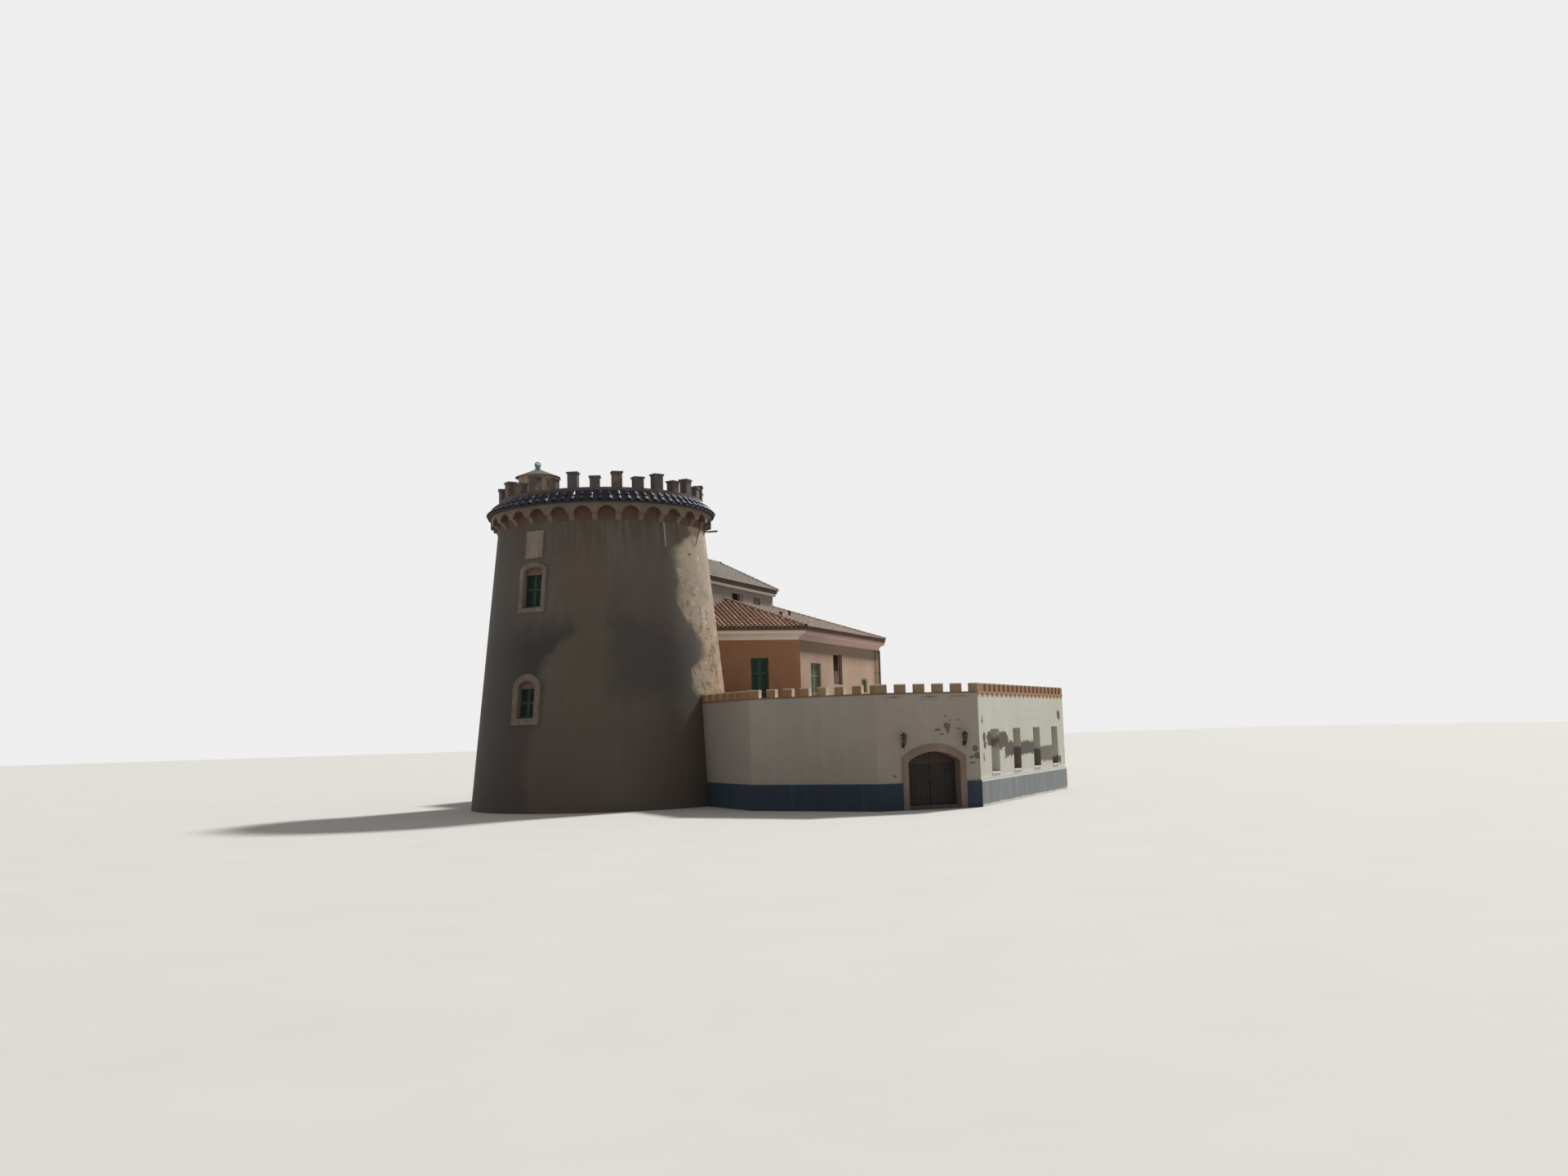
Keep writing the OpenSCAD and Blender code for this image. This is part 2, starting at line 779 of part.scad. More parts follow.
module plaque() {
    color("tan")
        on_tower_face(plaque_z)
            facing_out(surround_proud, plaque_t) plaque_outline();
}

// One run of the wing's wall: full thickness below the terrace, parapet above
module wing_wall_run(first, last) {
    linear_extrude(slab_under_z)
        polygon(wing_strip(first, last, 0, wing_wall_t));
    translate([0, 0, slab_under_z])
        linear_extrude(wing_wall_top - slab_under_z)
            polygon(wing_strip(first, last, 0, wing_parapet_t));
}

// Solid of the house up to its wall faces, for cutting what runs into it
module house_mass() {
    rotate([0, 0, house_dir])
        linear_extrude(far / 4)
            polygon(house_plan(fit_gap));
}

// The walls with no opening: the run that dies into the tower with the angled
// run, and the rear run that ends at the house
module wing_blank_walls() {
    color("gray") {
        difference() {
            wing_wall_run(0, 2);
            tower_cut();
        }
        difference() {
            wing_wall_run(4, 5);
            house_mass();
        }
    }
}

// Block across the gate wall: x0 to x1 from the middle of the gate, y0 to y1
// back from the face, z0 to z1
module gate_block(x0, x1, y0, y1, z0, z1) {
    translate([gate_x + x0, gate_face_y + y0, z0])
        cube([x1 - x0, y1 - y0, z1 - z0]);
}

// Everything of the gate wall that its piers don't fill
module gate_bay() {
    gate_block(-gate_outer_w / 2, gate_outer_w / 2, -far / 60, gate_reveal, -eps, far / 4);
    gate_block(-gate_recess_w / 2, gate_recess_w / 2, 0, far / 60, -eps, far / 4);
}

module gate_wall_left() {
    color("gray")
        difference() {
            wing_wall_run(2, 3);
            gate_bay();
            gate_block(0, far / 4, -far / 60, far / 60, -eps, far / 4);
        }
}

module gate_wall_right() {
    color("gray")
        difference() {
            wing_wall_run(2, 3);
            gate_bay();
            gate_block(-far / 4, 0, -far / 60, far / 60, -eps, far / 4);
        }
}

// Upright outlines of the gate's arch and of its stone surround
module gate_outline(w, arch_t) {
    intersection() {
        translate([-w / 2, 0]) square([w, gate_spring_z + gate_rise + arch_t]);
        union() {
            translate([0, gate_arch_z]) circle(gate_arch_r + arch_t, $fn = large_fn);
            translate([-w / 2, 0]) square([w, gate_spring_z]);
        }
    }
}

module through_gate_wall(y0, y1) {
    translate([gate_x, gate_face_y + y1, 0])
        rotate([90, 0, 0])
            linear_extrude(y1 - y0)
                children();
}

module gate_wall_over() {
    color("gray")
        difference() {
            intersection() {
                wing_wall_run(2, 3);
                gate_bay();
            }
            through_gate_wall(-eps, gate_reveal) gate_outline(gate_outer_w + 2 * eps, gate_arch_t);
            gate_block(-gate_recess_w / 2 - eps, gate_recess_w / 2 + eps,
                gate_reveal, wing_wall_t + eps, -eps, gate_recess_top);
        }
}

// Middle of each window along the slotted wall
slot_pitch = (slotted_wall_len - slot_first - slot_last) / (slot_count - 1);
function slot_s(i) = slot_first + i * slot_pitch;

// Local frame on the slotted wall: X along, Y into the wall
module on_slotted_wall(s) {
    translate(concat(corner_gate_right + s * dir(slotted_wall_dir), [0]))
        rotate([0, 0, slotted_wall_dir])
            children();
}

module wing_wall_slotted() {
    color("gainsboro")
        difference() {
            wing_wall_run(3, 4);
            for (i = [0 : slot_count - 1])
                on_slotted_wall(slot_s(i))
                    translate([-slot_w / 2, -eps, slot_sill_z])
                        cube([slot_w, wing_wall_t + 2 * eps, slot_h]);
        }
}

module wing_plinth() {
    color("slategray")
        difference() {
            linear_extrude(plinth_h)
                polygon(wing_strip(0, wing_count - 1, plinth_proud, 0));
            tower_cut();
            house_mass();
            gate_block(-gate_outer_w / 2, gate_outer_w / 2, -far / 60, far / 60, -eps, far / 4);
        }
}

module wing_coping() {
    color("sienna")
        difference() {
            translate([0, 0, wing_wall_top])
                linear_extrude(coping_h)
                    polygon(wing_strip(0, wing_count - 1, coping_proud, wing_parapet_t));
            tower_cut();
            house_mass();
        }
}

// Gaps between merlons, from one corner towards another for as far as they fit
module crenels(from, to, start, pitch) {
    gap = pitch * (1 - merlon_share);
    d = unit(to - from);
    last = floor((norm(to - from) - start - gap - corner_merlon_w) / pitch);
    translate(concat(from, [0]))
        rotate([0, 0, atan2(d[1], d[0])])
            for (k = [0 : last])
                translate([start + k * pitch, -wing_wall_t, crenel_z - eps])
                    cube([gap, 2 * wing_wall_t, wing_merlon_h + 2 * eps]);
}

module wing_merlons() {
    color("sienna")
        difference() {
            translate([0, 0, crenel_z])
                linear_extrude(wing_merlon_h)
                    polygon(wing_strip(0, wing_count - 1, 0, wing_parapet_t));
            tower_cut();
            house_mass();
            crenels(corner_angled, wing_start, tower_run_crenel, merlon_pitch);
            crenels(corner_angled, corner_gate_left, angled_crenel, merlon_pitch);
            crenels(corner_gate_left, corner_gate_right, gate_crenel, merlon_pitch);
            crenels(corner_gate_right, corner_rear, slotted_crenel, slotted_merlon_pitch);
            crenels(corner_rear, rear_meets_house, rear_crenel, merlon_pitch);
        }
}

module terrace_slab() {
    color("tan")
        difference() {
            translate([0, 0, slab_under_z])
                linear_extrude(terrace_t)
                    polygon(wing_area(wing_parapet_t));
            tower_cut();
            house_mass();
        }
}

module wing_floor() {
    color("tan")
        difference() {
            linear_extrude(wing_floor_z) polygon(wing_area(wing_wall_t));
            tower_cut();
            house_mass();
        }
}

module gate_surround() {
    color("burlywood")
        difference() {
            through_gate_wall(-gate_mould_proud - gate_surround_proud, gate_reveal)
                gate_outline(gate_outer_w, gate_arch_t);
            through_gate_wall(-gate_mould_proud - gate_surround_proud - eps, -gate_surround_proud)
                gate_outline(gate_outer_w - 2 * gate_mould_w, gate_arch_t - gate_mould_w);
            through_gate_wall(-gate_surround_proud - eps, gate_reveal + eps)
                gate_outline(gate_w, 0);
            gate_block(-gate_w / 2, gate_w / 2, -far / 60, far / 60, -eps, gate_spring_z / 2);
        }
}

module gate_threshold() {
    color("burlywood") {
        gate_block(-gate_w / 2, gate_w / 2, -gate_surround_proud, gate_reveal, 0, wing_floor_z);
        gate_block(-gate_recess_w / 2, gate_recess_w / 2, gate_reveal, wing_wall_t, 0, wing_floor_z);
    }
}

// Pin standing on a lug in the jamb; side is -1 for the left jamb, 1 for the right
module pintle(side, z) {
    translate([gate_x, hinge_y, z]) {
        translate([0, 0, -pin_lug]) {
            linear_extrude(pin_lug)
                union() {
                    translate([side * hinge_x, 0]) circle(d = pin_lug);
                    translate([side > 0 ? hinge_x : -gate_recess_w / 2, -pin_lug / 2])
                        square([gate_recess_w / 2 - hinge_x, pin_lug]);
                }
        }
        translate([side * hinge_x, 0, 0]) cylinder(d = hinge_pin_d, h = knuckle_h + pin_over);
    }
}

module gate_pintles() {
    color("black")
        for (side = [-1, 1], z = hinge_levels) pintle(side, z);
}

// Gate leaf as seen for the left jamb: the hinge side is at -X
module gate_leaf() {
    x0 = -gate_recess_w / 2 + leaf_side_gap;
    rail_x = -gate_w / 2 + leaf_rail_gap;
    rail_w = x0 + leaf_w - leaf_rail_gap - rail_x;
    difference() {
        union() {
            translate([gate_x + x0, leaf_y, leaf_z]) cube([leaf_w, leaf_t, leaf_h]);
            for (z = [leaf_z + leaf_rail_foot, leaf_rail_z])
                translate([gate_x + rail_x, leaf_y - leaf_rail_t, z])
                    cube([rail_w, leaf_rail_t, leaf_rail_h]);
            for (z = hinge_levels)
                translate([gate_x - hinge_x, 0, z + pin_gap]) {
                    translate([0, hinge_y, 0]) cylinder(d = hinge_pin_d + 2 * knuckle_t, h = knuckle_h);
                    translate([0, leaf_y + leaf_t, knuckle_h / 6])
                        cube([strap_len, strap_t, knuckle_h * 2 / 3]);
                }
        }
        for (z = hinge_levels)
            translate([gate_x - hinge_x, hinge_y, z - eps])
                cylinder(r = hinge_pin_d / 2 + pin_gap, h = knuckle_h + 2 * eps);
    }
}

module gate_leaf_left() {
    color("saddlebrown") gate_leaf();
}

module gate_leaf_right() {
    color("saddlebrown")
        translate([gate_x, 0, 0]) mirror([1, 0, 0]) translate([-gate_x, 0, 0]) gate_leaf();
}

module slot_sills() {
    color("white")
        for (i = [0 : slot_count - 1])
            on_slotted_wall(slot_s(i))
                translate([-slot_w / 2, -slot_sill_proud, slot_sill_z])
                    cube([slot_w, slot_setback + slot_sill_proud, slot_sill_h]);
}

module slot_boards() {
    color("dimgray")
        for (i = [0 : slot_count - 1])
            on_slotted_wall(slot_s(i))
                translate([-slot_w / 2, slot_setback, slot_sill_z])
                    cube([slot_w, joinery_t, slot_h]);
}

// Six-sided cage that narrows downwards, under a cap with a knob and over a
// ball and a tapered stem; an arm at the ball holds it to a plate on the wall
module wall_lantern() {
    ball_z = -lantern_h / 2 - lantern_ball_d / 3;
    translate([-lantern_plate_w / 2, -lantern_arm_t, ball_z - lantern_plate_h / 2])
        cube([lantern_plate_w, lantern_arm_t, lantern_plate_h]);
    translate([-lantern_arm_t / 2, -lantern_arm, ball_z - lantern_arm_t / 2])
        cube([lantern_arm_t, lantern_arm, lantern_arm_t]);
    translate([0, -lantern_arm, 0]) {
        translate([0, 0, -lantern_h / 2])
            cylinder(d1 = lantern_foot_w, d2 = lantern_w, h = lantern_h, $fn = 6);
        translate([0, 0, lantern_h / 2])
            cylinder(d1 = lantern_cap_w, d2 = lantern_ball_d / 2, h = lantern_cap_h);
        translate([0, 0, lantern_h / 2 + lantern_cap_h + lantern_ball_d / 3])
            sphere(d = lantern_ball_d);
        translate([0, 0, ball_z]) sphere(d = lantern_ball_d);
        translate([0, 0, ball_z - lantern_stem_h])
            cylinder(d1 = lantern_arm_t / 2, d2 = lantern_ball_d / 2, h = lantern_stem_h);
    }
}

module wall_lanterns() {
    color("black")
        for (side = [-1, 1])
            translate([gate_x + side * lantern_off, gate_face_y, lantern_z])
                wall_lantern();
}

function roof_under(x) = roof_under_z + house_roof_slope * x;

// Runs an upright profile along eave line i of the house and past both its
// ends; in the profile X goes inwards from the eave line and Y up
module along_eave(i) {
    a = house_eave_plan[i];
    b = house_eave_plan[(i + 1) % house_corners];
    d = unit(b - a);
    past = 2 * house_half_w;
    translate(concat(a, [0]))
        rotate([0, 0, atan2(d[1], d[0])])
            translate([-past, 0, 0])
                rotate([90, 0, 90])
                    linear_extrude(norm(b - a) + 2 * past)
                        children();
}

// What the profiles run along all six eave lines have in common
module within_eaves() {
    intersection() {
        along_eave(0) children();
        along_eave(1) children();
        along_eave(2) children();
        along_eave(3) children();
        along_eave(4) children();
        along_eave(5) children();
    }
}

// Hipped solid over the whole plan, standing on the ground
module under_house_roof(z0, margin = 0) {
    reach = 3 * house_half_w;
    within_eaves()
        polygon([
            [-margin, -margin], [reach, -margin],
            [reach, z0 + house_roof_slope * reach], [-margin, z0 - house_roof_slope * margin]
        ]);
}

// Wall from one corner of the house's plan to another, up to the roof
module house_wall(first, last) {
    outer = house_plan(0);
    inner = house_plan(-house_wall_t);
    corners = [first : last];
    intersection() {
        linear_extrude(far / 4)
            polygon(concat([for (i = corners) outer[i]], reversed([for (i = corners) inner[i]])));
        under_house_roof(roof_under_z - fit_gap);
    }
}

module in_house_frame() {
    rotate([0, 0, house_dir]) children();
}

// Box cut into face i, w wide with its middle s along the wall from the corner
// between faces 0 and 1; setback is measured back from the wall's face
module on_house_face(i, s) {
    plan = house_plan(0);
    corner = plan[1];
    d = i == 0 ? unit(plan[0] - plan[1]) : unit(plan[2] - plan[1]);
    side = i == 0 ? -1 : 1;
    translate(concat(corner + s * d, [0]))
        rotate([0, 0, atan2(side * d[1], side * d[0])])
            children();
}

// Openings of the house, as [face, middle along the wall, width, foot, top]
terrace_door_z = house_floor_z + terrace_door_step;
end_door = [0, end_door_s, end_door_w, terrace_door_z, end_door_top];
side_door = [1, side_door_s, side_door_w, terrace_door_z, side_door_top];
side_window = [1, side_window_s, side_window_w, side_window_z, side_window_top];
small_window = [1, small_window_s, small_window_w, small_window_z, small_window_top];

module house_opening(o, y0, y1) {
    on_house_face(o[0], o[1])
        translate([-o[2] / 2, y0, o[3]])
            cube([o[2], y1 - y0, o[4] - o[3]]);
}

module house_end() {
    difference() {
        house_wall(0, 1);
        house_opening(end_door, -eps, house_wall_t + eps);
        tower_cut();
    }
}

module house_side() {
    difference() {
        house_wall(1, 2);
        for (o = [side_door, side_window, small_window])
            house_opening(o, -eps, house_wall_t + eps);
    }
}

// Both sides of the house's axis
module both_sides() {
    in_house_frame()
        for (flip = [0, 1])
            mirror([0, flip, 0]) children();
}

module house_end_walls() {
    color("peru") both_sides() house_end();
}

module house_side_walls() {
    color("tan") both_sides() house_side();
}

module house_back_walls() {
    color("tan") in_house_frame() house_wall(2, 4);
}

module house_roof() {
    color("saddlebrown")
        difference() {
            in_house_frame()
                difference() {
                    under_house_roof(house_eave_z);
                    under_house_roof(roof_under_z, eps);
                    translate([clerestory_near_u, -clerestory_half_w, 0])
                        cube([clerestory_len, 2 * clerestory_half_w, far / 4]);
                }
            tower_cut();
        }
}

// Cornice with a hollow quarter round between its fascia and the wall
module house_cornice() {
    foot_z = roof_under_z - cornice_h;
    top_z = roof_under_z - fit_gap;
    cove_x = cornice_lip + cornice_fillet;
    cove_r = house_eave - cornice_foot_t - cove_x;
    reach = 3 * house_half_w;
    wall_x = house_eave - fit_gap;
    color("mistyrose")
        difference() {
            in_house_frame()
                difference() {
                    within_eaves()
                        polygon(concat(
                            [
                                [reach, foot_z], [reach, top_z + house_roof_slope * reach],
                                [cornice_lip, top_z + house_roof_slope * cornice_lip],
                                [cornice_lip, foot_z + cove_r]
                            ],
                            [for (a = [90 : -15 : 0]) [cove_x, foot_z] + cove_r * dir(a)]
                        ));
                    within_eaves()
                        polygon([[wall_x, 0], [reach, 0], [reach, far / 4], [wall_x, far / 4]]);
                }
            tower_cut();
        }
}

module house_floor() {
    color("tan")
        in_house_frame()
            difference() {
                translate([0, 0, house_floor_z - house_floor_t])
                    linear_extrude(house_floor_t)
                        polygon(house_plan(-house_wall_t - fit_gap));
                tower_cut();
            }
}

module house_boards(o) {
    house_opening(o, joinery_setback, joinery_setback + joinery_t);
}

module house_doors() {
    color("darkgreen")
        both_sides()
            for (o = [end_door, side_door]) house_boards(o);
}

module house_windows() {
    t0 = clerestory_eave + clerestory_setback;
    color("maroon") {
        both_sides()
            for (o = [side_window, small_window]) house_boards(o);
        in_clerestory_frame()
            for (u = clerestory_window_us) {
                clerestory_window_box(u, t0, t0 + joinery_t);
                clerestory_window_box(u, clerestory_w - t0 - joinery_t, clerestory_w - t0);
            }
    }
}

// Pipe down the long wall, with brackets round it
module downpipe(s, d) {
    top = roof_under_z - cornice_h;
    out = d / 2 + pipe_wall_gap;
    on_house_face(1, house_side_len - s)
        translate([0, -out, 0]) {
            translate([0, 0, pipe_foot_z]) cylinder(d = d, h = top - pipe_foot_z);
            for (z = [pipe_bracket_z : pipe_bracket_pitch : top - pipe_bracket_z])
                translate([0, 0, z]) {
                    cylinder(d = d + 2 * pipe_collar_t, h = pipe_collar_h);
                    translate([-pipe_bracket_w / 2, 0, (pipe_collar_h - pipe_bracket_h) / 2])
                        cube([pipe_bracket_w, out, pipe_bracket_h]);
                }
        }
}

module downpipes() {
    color("dimgray")
        in_house_frame() {
            downpipe(downpipe_s, downpipe_d);
            downpipe(thin_pipe_s, thin_pipe_d);
        }
}

// Clerestory: a narrow box of walls on the ridge with a hipped roof of its own
clerestory_w = 2 * (clerestory_half_w + clerestory_eave);
clerestory_roof_len = clerestory_len + 2 * clerestory_eave;
clerestory_rise = clerestory_ridge_z - clerestory_eave_z;
clerestory_under_z = clerestory_eave_z - roof_t;
clerestory_foot_z = roof_under(house_half_w + house_eave - clerestory_half_w) - clerestory_sink;

module in_clerestory_frame() {
    in_house_frame()
        translate([clerestory_near_u - clerestory_eave, -clerestory_w / 2, 0])
            children();
}

// Hipped solid over the eave rectangle, with its eave at z0
module hipped_solid(z0) {
    side_slope = clerestory_rise / (clerestory_w / 2);
    end_slope = clerestory_rise / clerestory_hip_run;
    half = clerestory_w / 2;
    intersection() {
        rotate([90, 0, 90])
            linear_extrude(clerestory_roof_len)
                polygon([[0, 0], [clerestory_w, 0], [clerestory_w, z0], [half, z0 + clerestory_rise], [0, z0]]);
        translate([0, clerestory_w, 0])
            rotate([90, 0, 0])
                linear_extrude(clerestory_w)
                    polygon([
                        [0, 0], [clerestory_roof_len, 0], [clerestory_roof_len, z0],
                        [clerestory_roof_len - clerestory_hip_run, z0 + clerestory_rise],
                        [clerestory_hip_run, z0 + clerestory_rise], [0, z0]
                    ]);
    }
}

module clerestory_roof() {
    color("peru")
        in_clerestory_frame()
            difference() {
                hipped_solid(clerestory_eave_z);
                translate([-eps, -eps, -far]) cube([far, far, far + clerestory_under_z]);
                difference() {
                    hipped_solid(clerestory_under_z);
                    cube([far, far, clerestory_under_z - far]);
                }
            }
}

clerestory_window_us = [for (k = [0, 1]) clerestory_eave + clerestory_window_first + k * clerestory_window_pitch];

module clerestory_window_box(u, y0, y1) {
    translate([u - clerestory_window_w / 2, y0, clerestory_foot_z + clerestory_window_sill])
        cube([clerestory_window_w, y1 - y0, clerestory_window_h]);
}

module clerestory_walls() {
    t = clerestory_t;
    color("lightgray")
        in_clerestory_frame()
            difference() {
                intersection() {
                    hipped_solid(clerestory_under_z);
                    translate([clerestory_eave, clerestory_eave, clerestory_foot_z])
                        cube([clerestory_len, 2 * clerestory_half_w, far]);
                }
                translate([clerestory_eave + t, clerestory_eave + t, 0])
                    cube([clerestory_len - 2 * t, 2 * (clerestory_half_w - t), far]);
                for (u = clerestory_window_us)
                    clerestory_window_box(u, -eps, clerestory_w + eps);
            }
}

tower_segment(window_dir);  // tower_wall_front_left
tower_segment(window_dir + segment_angle);  // tower_wall_front
tower_segment(window_dir + 2 * segment_angle);  // tower_wall_right
tower_segment(window_dir + 3 * segment_angle);  // tower_wall_house_side
tower_segment(window_dir + 4 * segment_angle);  // tower_wall_back
tower_segment(window_dir + 5 * segment_angle);  // tower_wall_left
tower_floors();
roof_deck();
corbel_table();
tiled_skirt();
parapet();
parapet_merlons();
merlon_caps();
turret_wall();
turret_roof();
turret_finial();
window_surrounds();
window_shutters();
plaque();
wing_blank_walls();
gate_wall_left();
gate_wall_right();
gate_wall_over();
wing_wall_slotted();
wing_plinth();
wing_coping();
wing_merlons();
terrace_slab();
wing_floor();
gate_surround();
gate_threshold();
gate_pintles();
gate_leaf_left();
gate_leaf_right();
slot_sills();
slot_boards();
wall_lanterns();
house_end_walls();
house_side_walls();
house_back_walls();
house_cornice();
house_roof();
house_floor();
house_doors();
house_windows();
downpipes();
clerestory_walls();
clerestory_roof();
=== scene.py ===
import math
import random

import bpy
import numpy as np
from mathutils import Matrix, Vector


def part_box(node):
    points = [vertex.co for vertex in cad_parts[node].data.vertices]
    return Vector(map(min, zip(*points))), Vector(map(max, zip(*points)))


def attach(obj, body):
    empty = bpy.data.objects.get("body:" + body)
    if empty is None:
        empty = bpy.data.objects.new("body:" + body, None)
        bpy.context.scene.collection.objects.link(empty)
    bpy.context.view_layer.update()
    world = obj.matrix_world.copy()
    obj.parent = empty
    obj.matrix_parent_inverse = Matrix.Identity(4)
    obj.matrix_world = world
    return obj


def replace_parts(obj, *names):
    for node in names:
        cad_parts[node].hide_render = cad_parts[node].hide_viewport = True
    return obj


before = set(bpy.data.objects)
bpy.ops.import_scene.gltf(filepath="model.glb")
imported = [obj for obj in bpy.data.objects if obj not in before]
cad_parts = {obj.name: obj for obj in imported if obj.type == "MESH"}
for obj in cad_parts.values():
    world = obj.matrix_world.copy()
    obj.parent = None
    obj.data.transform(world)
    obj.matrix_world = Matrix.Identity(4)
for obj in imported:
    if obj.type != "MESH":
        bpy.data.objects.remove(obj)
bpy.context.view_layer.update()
scene = bpy.context.scene
scene.view_settings.view_transform = "Standard"
dice = random.Random(7)
print("frame loaded")


# Colours are written as they look on screen and handed to the nodes as light
def tint(code, alpha=1.0):
    parts = [int(code[i:i + 2], 16) / 255 for i in (1, 3, 5)]
    return tuple(p / 12.92 if p <= 0.04045 else ((p + 0.055) / 1.055) ** 2.4 for p in parts) + (alpha,)


def heading(degrees):
    a = math.radians(degrees)
    return Vector((math.cos(a), math.sin(a), 0))


def turned(degrees, axis="Z"):
    return Matrix.Rotation(math.radians(degrees), 4, axis)


def moved(x, y, z):
    return Matrix.Translation((x, y, z))


# A socket that can be added, multiplied and compared like a number
class Wire:
    def __init__(self, tree, socket):
        self.tree = tree
        self.socket = socket

    def __add__(self, other):
        return self.tree.sum("ADD", self, other)

    def __radd__(self, other):
        return self.tree.sum("ADD", other, self)

    def __sub__(self, other):
        return self.tree.sum("SUBTRACT", self, other)

    def __rsub__(self, other):
        return self.tree.sum("SUBTRACT", other, self)

    def __mul__(self, other):
        return self.tree.sum("MULTIPLY", self, other)

    def __rmul__(self, other):
        return self.tree.sum("MULTIPLY", other, self)

    def __truediv__(self, other):
        return self.tree.sum("DIVIDE", self, other)

    def __rtruediv__(self, other):
        return self.tree.sum("DIVIDE", other, self)

    def atLeast(self, other):
        return self.tree.sum("MAXIMUM", self, other)

    def part(self, letter):
        return self.tree.node("ShaderNodeSeparateXYZ", {}, {0: self}, letter)

    # 0 below the edge and 1 above it, with a soft step
    def above(self, edge, soft=0.05, start=0.0, end=1.0):
        return self.tree.node("ShaderNodeMapRange", {"interpolation_type": "SMOOTHSTEP"},
                              {"Value": self, "From Min": edge - soft, "From Max": edge + soft,
                               "To Min": start, "To Max": end})

    def below(self, edge, soft=0.05):
        return self.above(edge, soft, 1.0, 0.0)

    def between(self, low, high, soft=0.05):
        return self.above(low, soft) * self.below(high, soft)

    # A line through given points: what it is at this value
    def follow(self, stops):
        total = stops[0][1]
        for (a, b), (c, d) in zip(stops, stops[1:]):
            total = total + self.tree.node("ShaderNodeMapRange", {}, {
                "Value": self, "From Min": a, "From Max": c, "To Min": 0.0, "To Max": d - b})
        return total


# The nodes of one material, or of the world
class Nodes:
    def __init__(self, tree):
        self.tree = tree

    def node(self, kind, settings, sockets, out=0):
        made = self.tree.nodes.new(kind)
        for key, value in settings.items():
            setattr(made, key, value)
        for key, value in sockets.items():
            if isinstance(value, Wire):
                self.tree.links.new(value.socket, made.inputs[key])
            else:
                made.inputs[key].default_value = value
        return Wire(self, made.outputs[out])

    def sum(self, operation, first, second=0.0):
        return self.node("ShaderNodeMath", {"operation": operation}, {0: first, 1: second})

    def dot(self, vector, other):
        return self.node("ShaderNodeVectorMath", {"operation": "DOT_PRODUCT"}, {0: vector, 1: other}, "Value")

    def mix(self, factor, first, second):
        first = tint(first) if isinstance(first, str) else first
        second = tint(second) if isinstance(second, str) else second
        return self.node("ShaderNodeMix", {"data_type": "RGBA"}, {0: factor, 6: first, 7: second}, 2)


# One finish: a shader and what varies over it
class Finish(Nodes):
    def __init__(self, name, colour, roughness=0.9, metallic=0.0, coat=0.0, alpha=1.0):
        self.material = bpy.data.materials.new(name)
        self.material.use_nodes = True
        super().__init__(self.material.node_tree)
        self.shader = self.tree.nodes["Principled BSDF"]
        self.set("Base Color", tint(colour))
        self.set("Roughness", roughness)
        self.set("Metallic", metallic)
        self.set("Coat Weight", coat)
        self.set("Alpha", alpha)
        self.spot = self.node("ShaderNodeTexCoord", {}, {}, "Object")
        self.x, self.y, self.z = (self.spot.part(letter) for letter in "XYZ")

    def set(self, socket, value):
        if isinstance(value, Wire):
            self.tree.links.new(value.socket, self.shader.inputs[socket])
        else:
            self.shader.inputs[socket].default_value = value

    # Noise over the finish; a small share in stretched draws it out along that axis
    def noise(self, scale, detail=4.0, rough=0.6, stretched=None):
        at = self.spot
        if stretched:
            at = self.node("ShaderNodeVectorMath", {"operation": "MULTIPLY"}, {0: at, 1: stretched})
        return self.node("ShaderNodeTexNoise", {}, {"Vector": at, "Scale": scale, "Detail": detail,
                                                    "Roughness": rough})

    def facing(self, direction):
        return self.dot(self.node("ShaderNodeNewGeometry", {}, {}, "Normal"), direction)

    def marked(self, label):
        return self.node("ShaderNodeAttribute", {"attribute_name": label}, {}, "Fac")

    # Distance along the slotted wall from its corner by the gate
    def alongSlots(self):
        return self.dot(self.spot, slottedAlong) - slottedAlong.dot(Vector((*wing["slottedCorner"], 0)))

    # Degrees round the tower's axis, 0 where it faces as the gate does
    def roundTower(self):
        return self.sum("ARCTAN2", self.x, self.y * -1.0) * math.degrees(1)

    # A value that wavers, for ragged edges
    def uneven(self, value, scale, reach, detail=5.0, rough=0.7):
        return value + (self.noise(scale, detail, rough) - 0.5) * reach

    def clouds(self, scale, edge, soft, first, second):
        self.set("Base Color", self.mix(self.noise(scale).above(edge, soft), first, second))

    # Soft-edged ovals at (across, up, half width, half height)
    def ovals(self, across, up, places):
        total = 0.0
        at = self.node("ShaderNodeCombineXYZ", {}, {0: across, 1: up})
        for cx, cz, rx, rz in places:
            scaled = self.node("ShaderNodeVectorMath", {"operation": "MULTIPLY_ADD"},
                               {0: at, 1: (1 / rx, 1 / rz, 0), 2: (-cx / rx, -cz / rz, 0)})
            reach = self.node("ShaderNodeVectorMath", {"operation": "LENGTH"}, {0: scaled}, "Value")
            total = reach.below(1.0, 0.12).atLeast(total)
        return total

    def bump(self, height, strength, distance):
        self.set("Normal", self.node("ShaderNodeBump", {}, {"Strength": strength, "Distance": distance,
                                                            "Height": height}))

    def on(self, *names):
        for name in names:
            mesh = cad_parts[name].data
            mesh.materials.clear()
            mesh.materials.append(self.material)
        return self


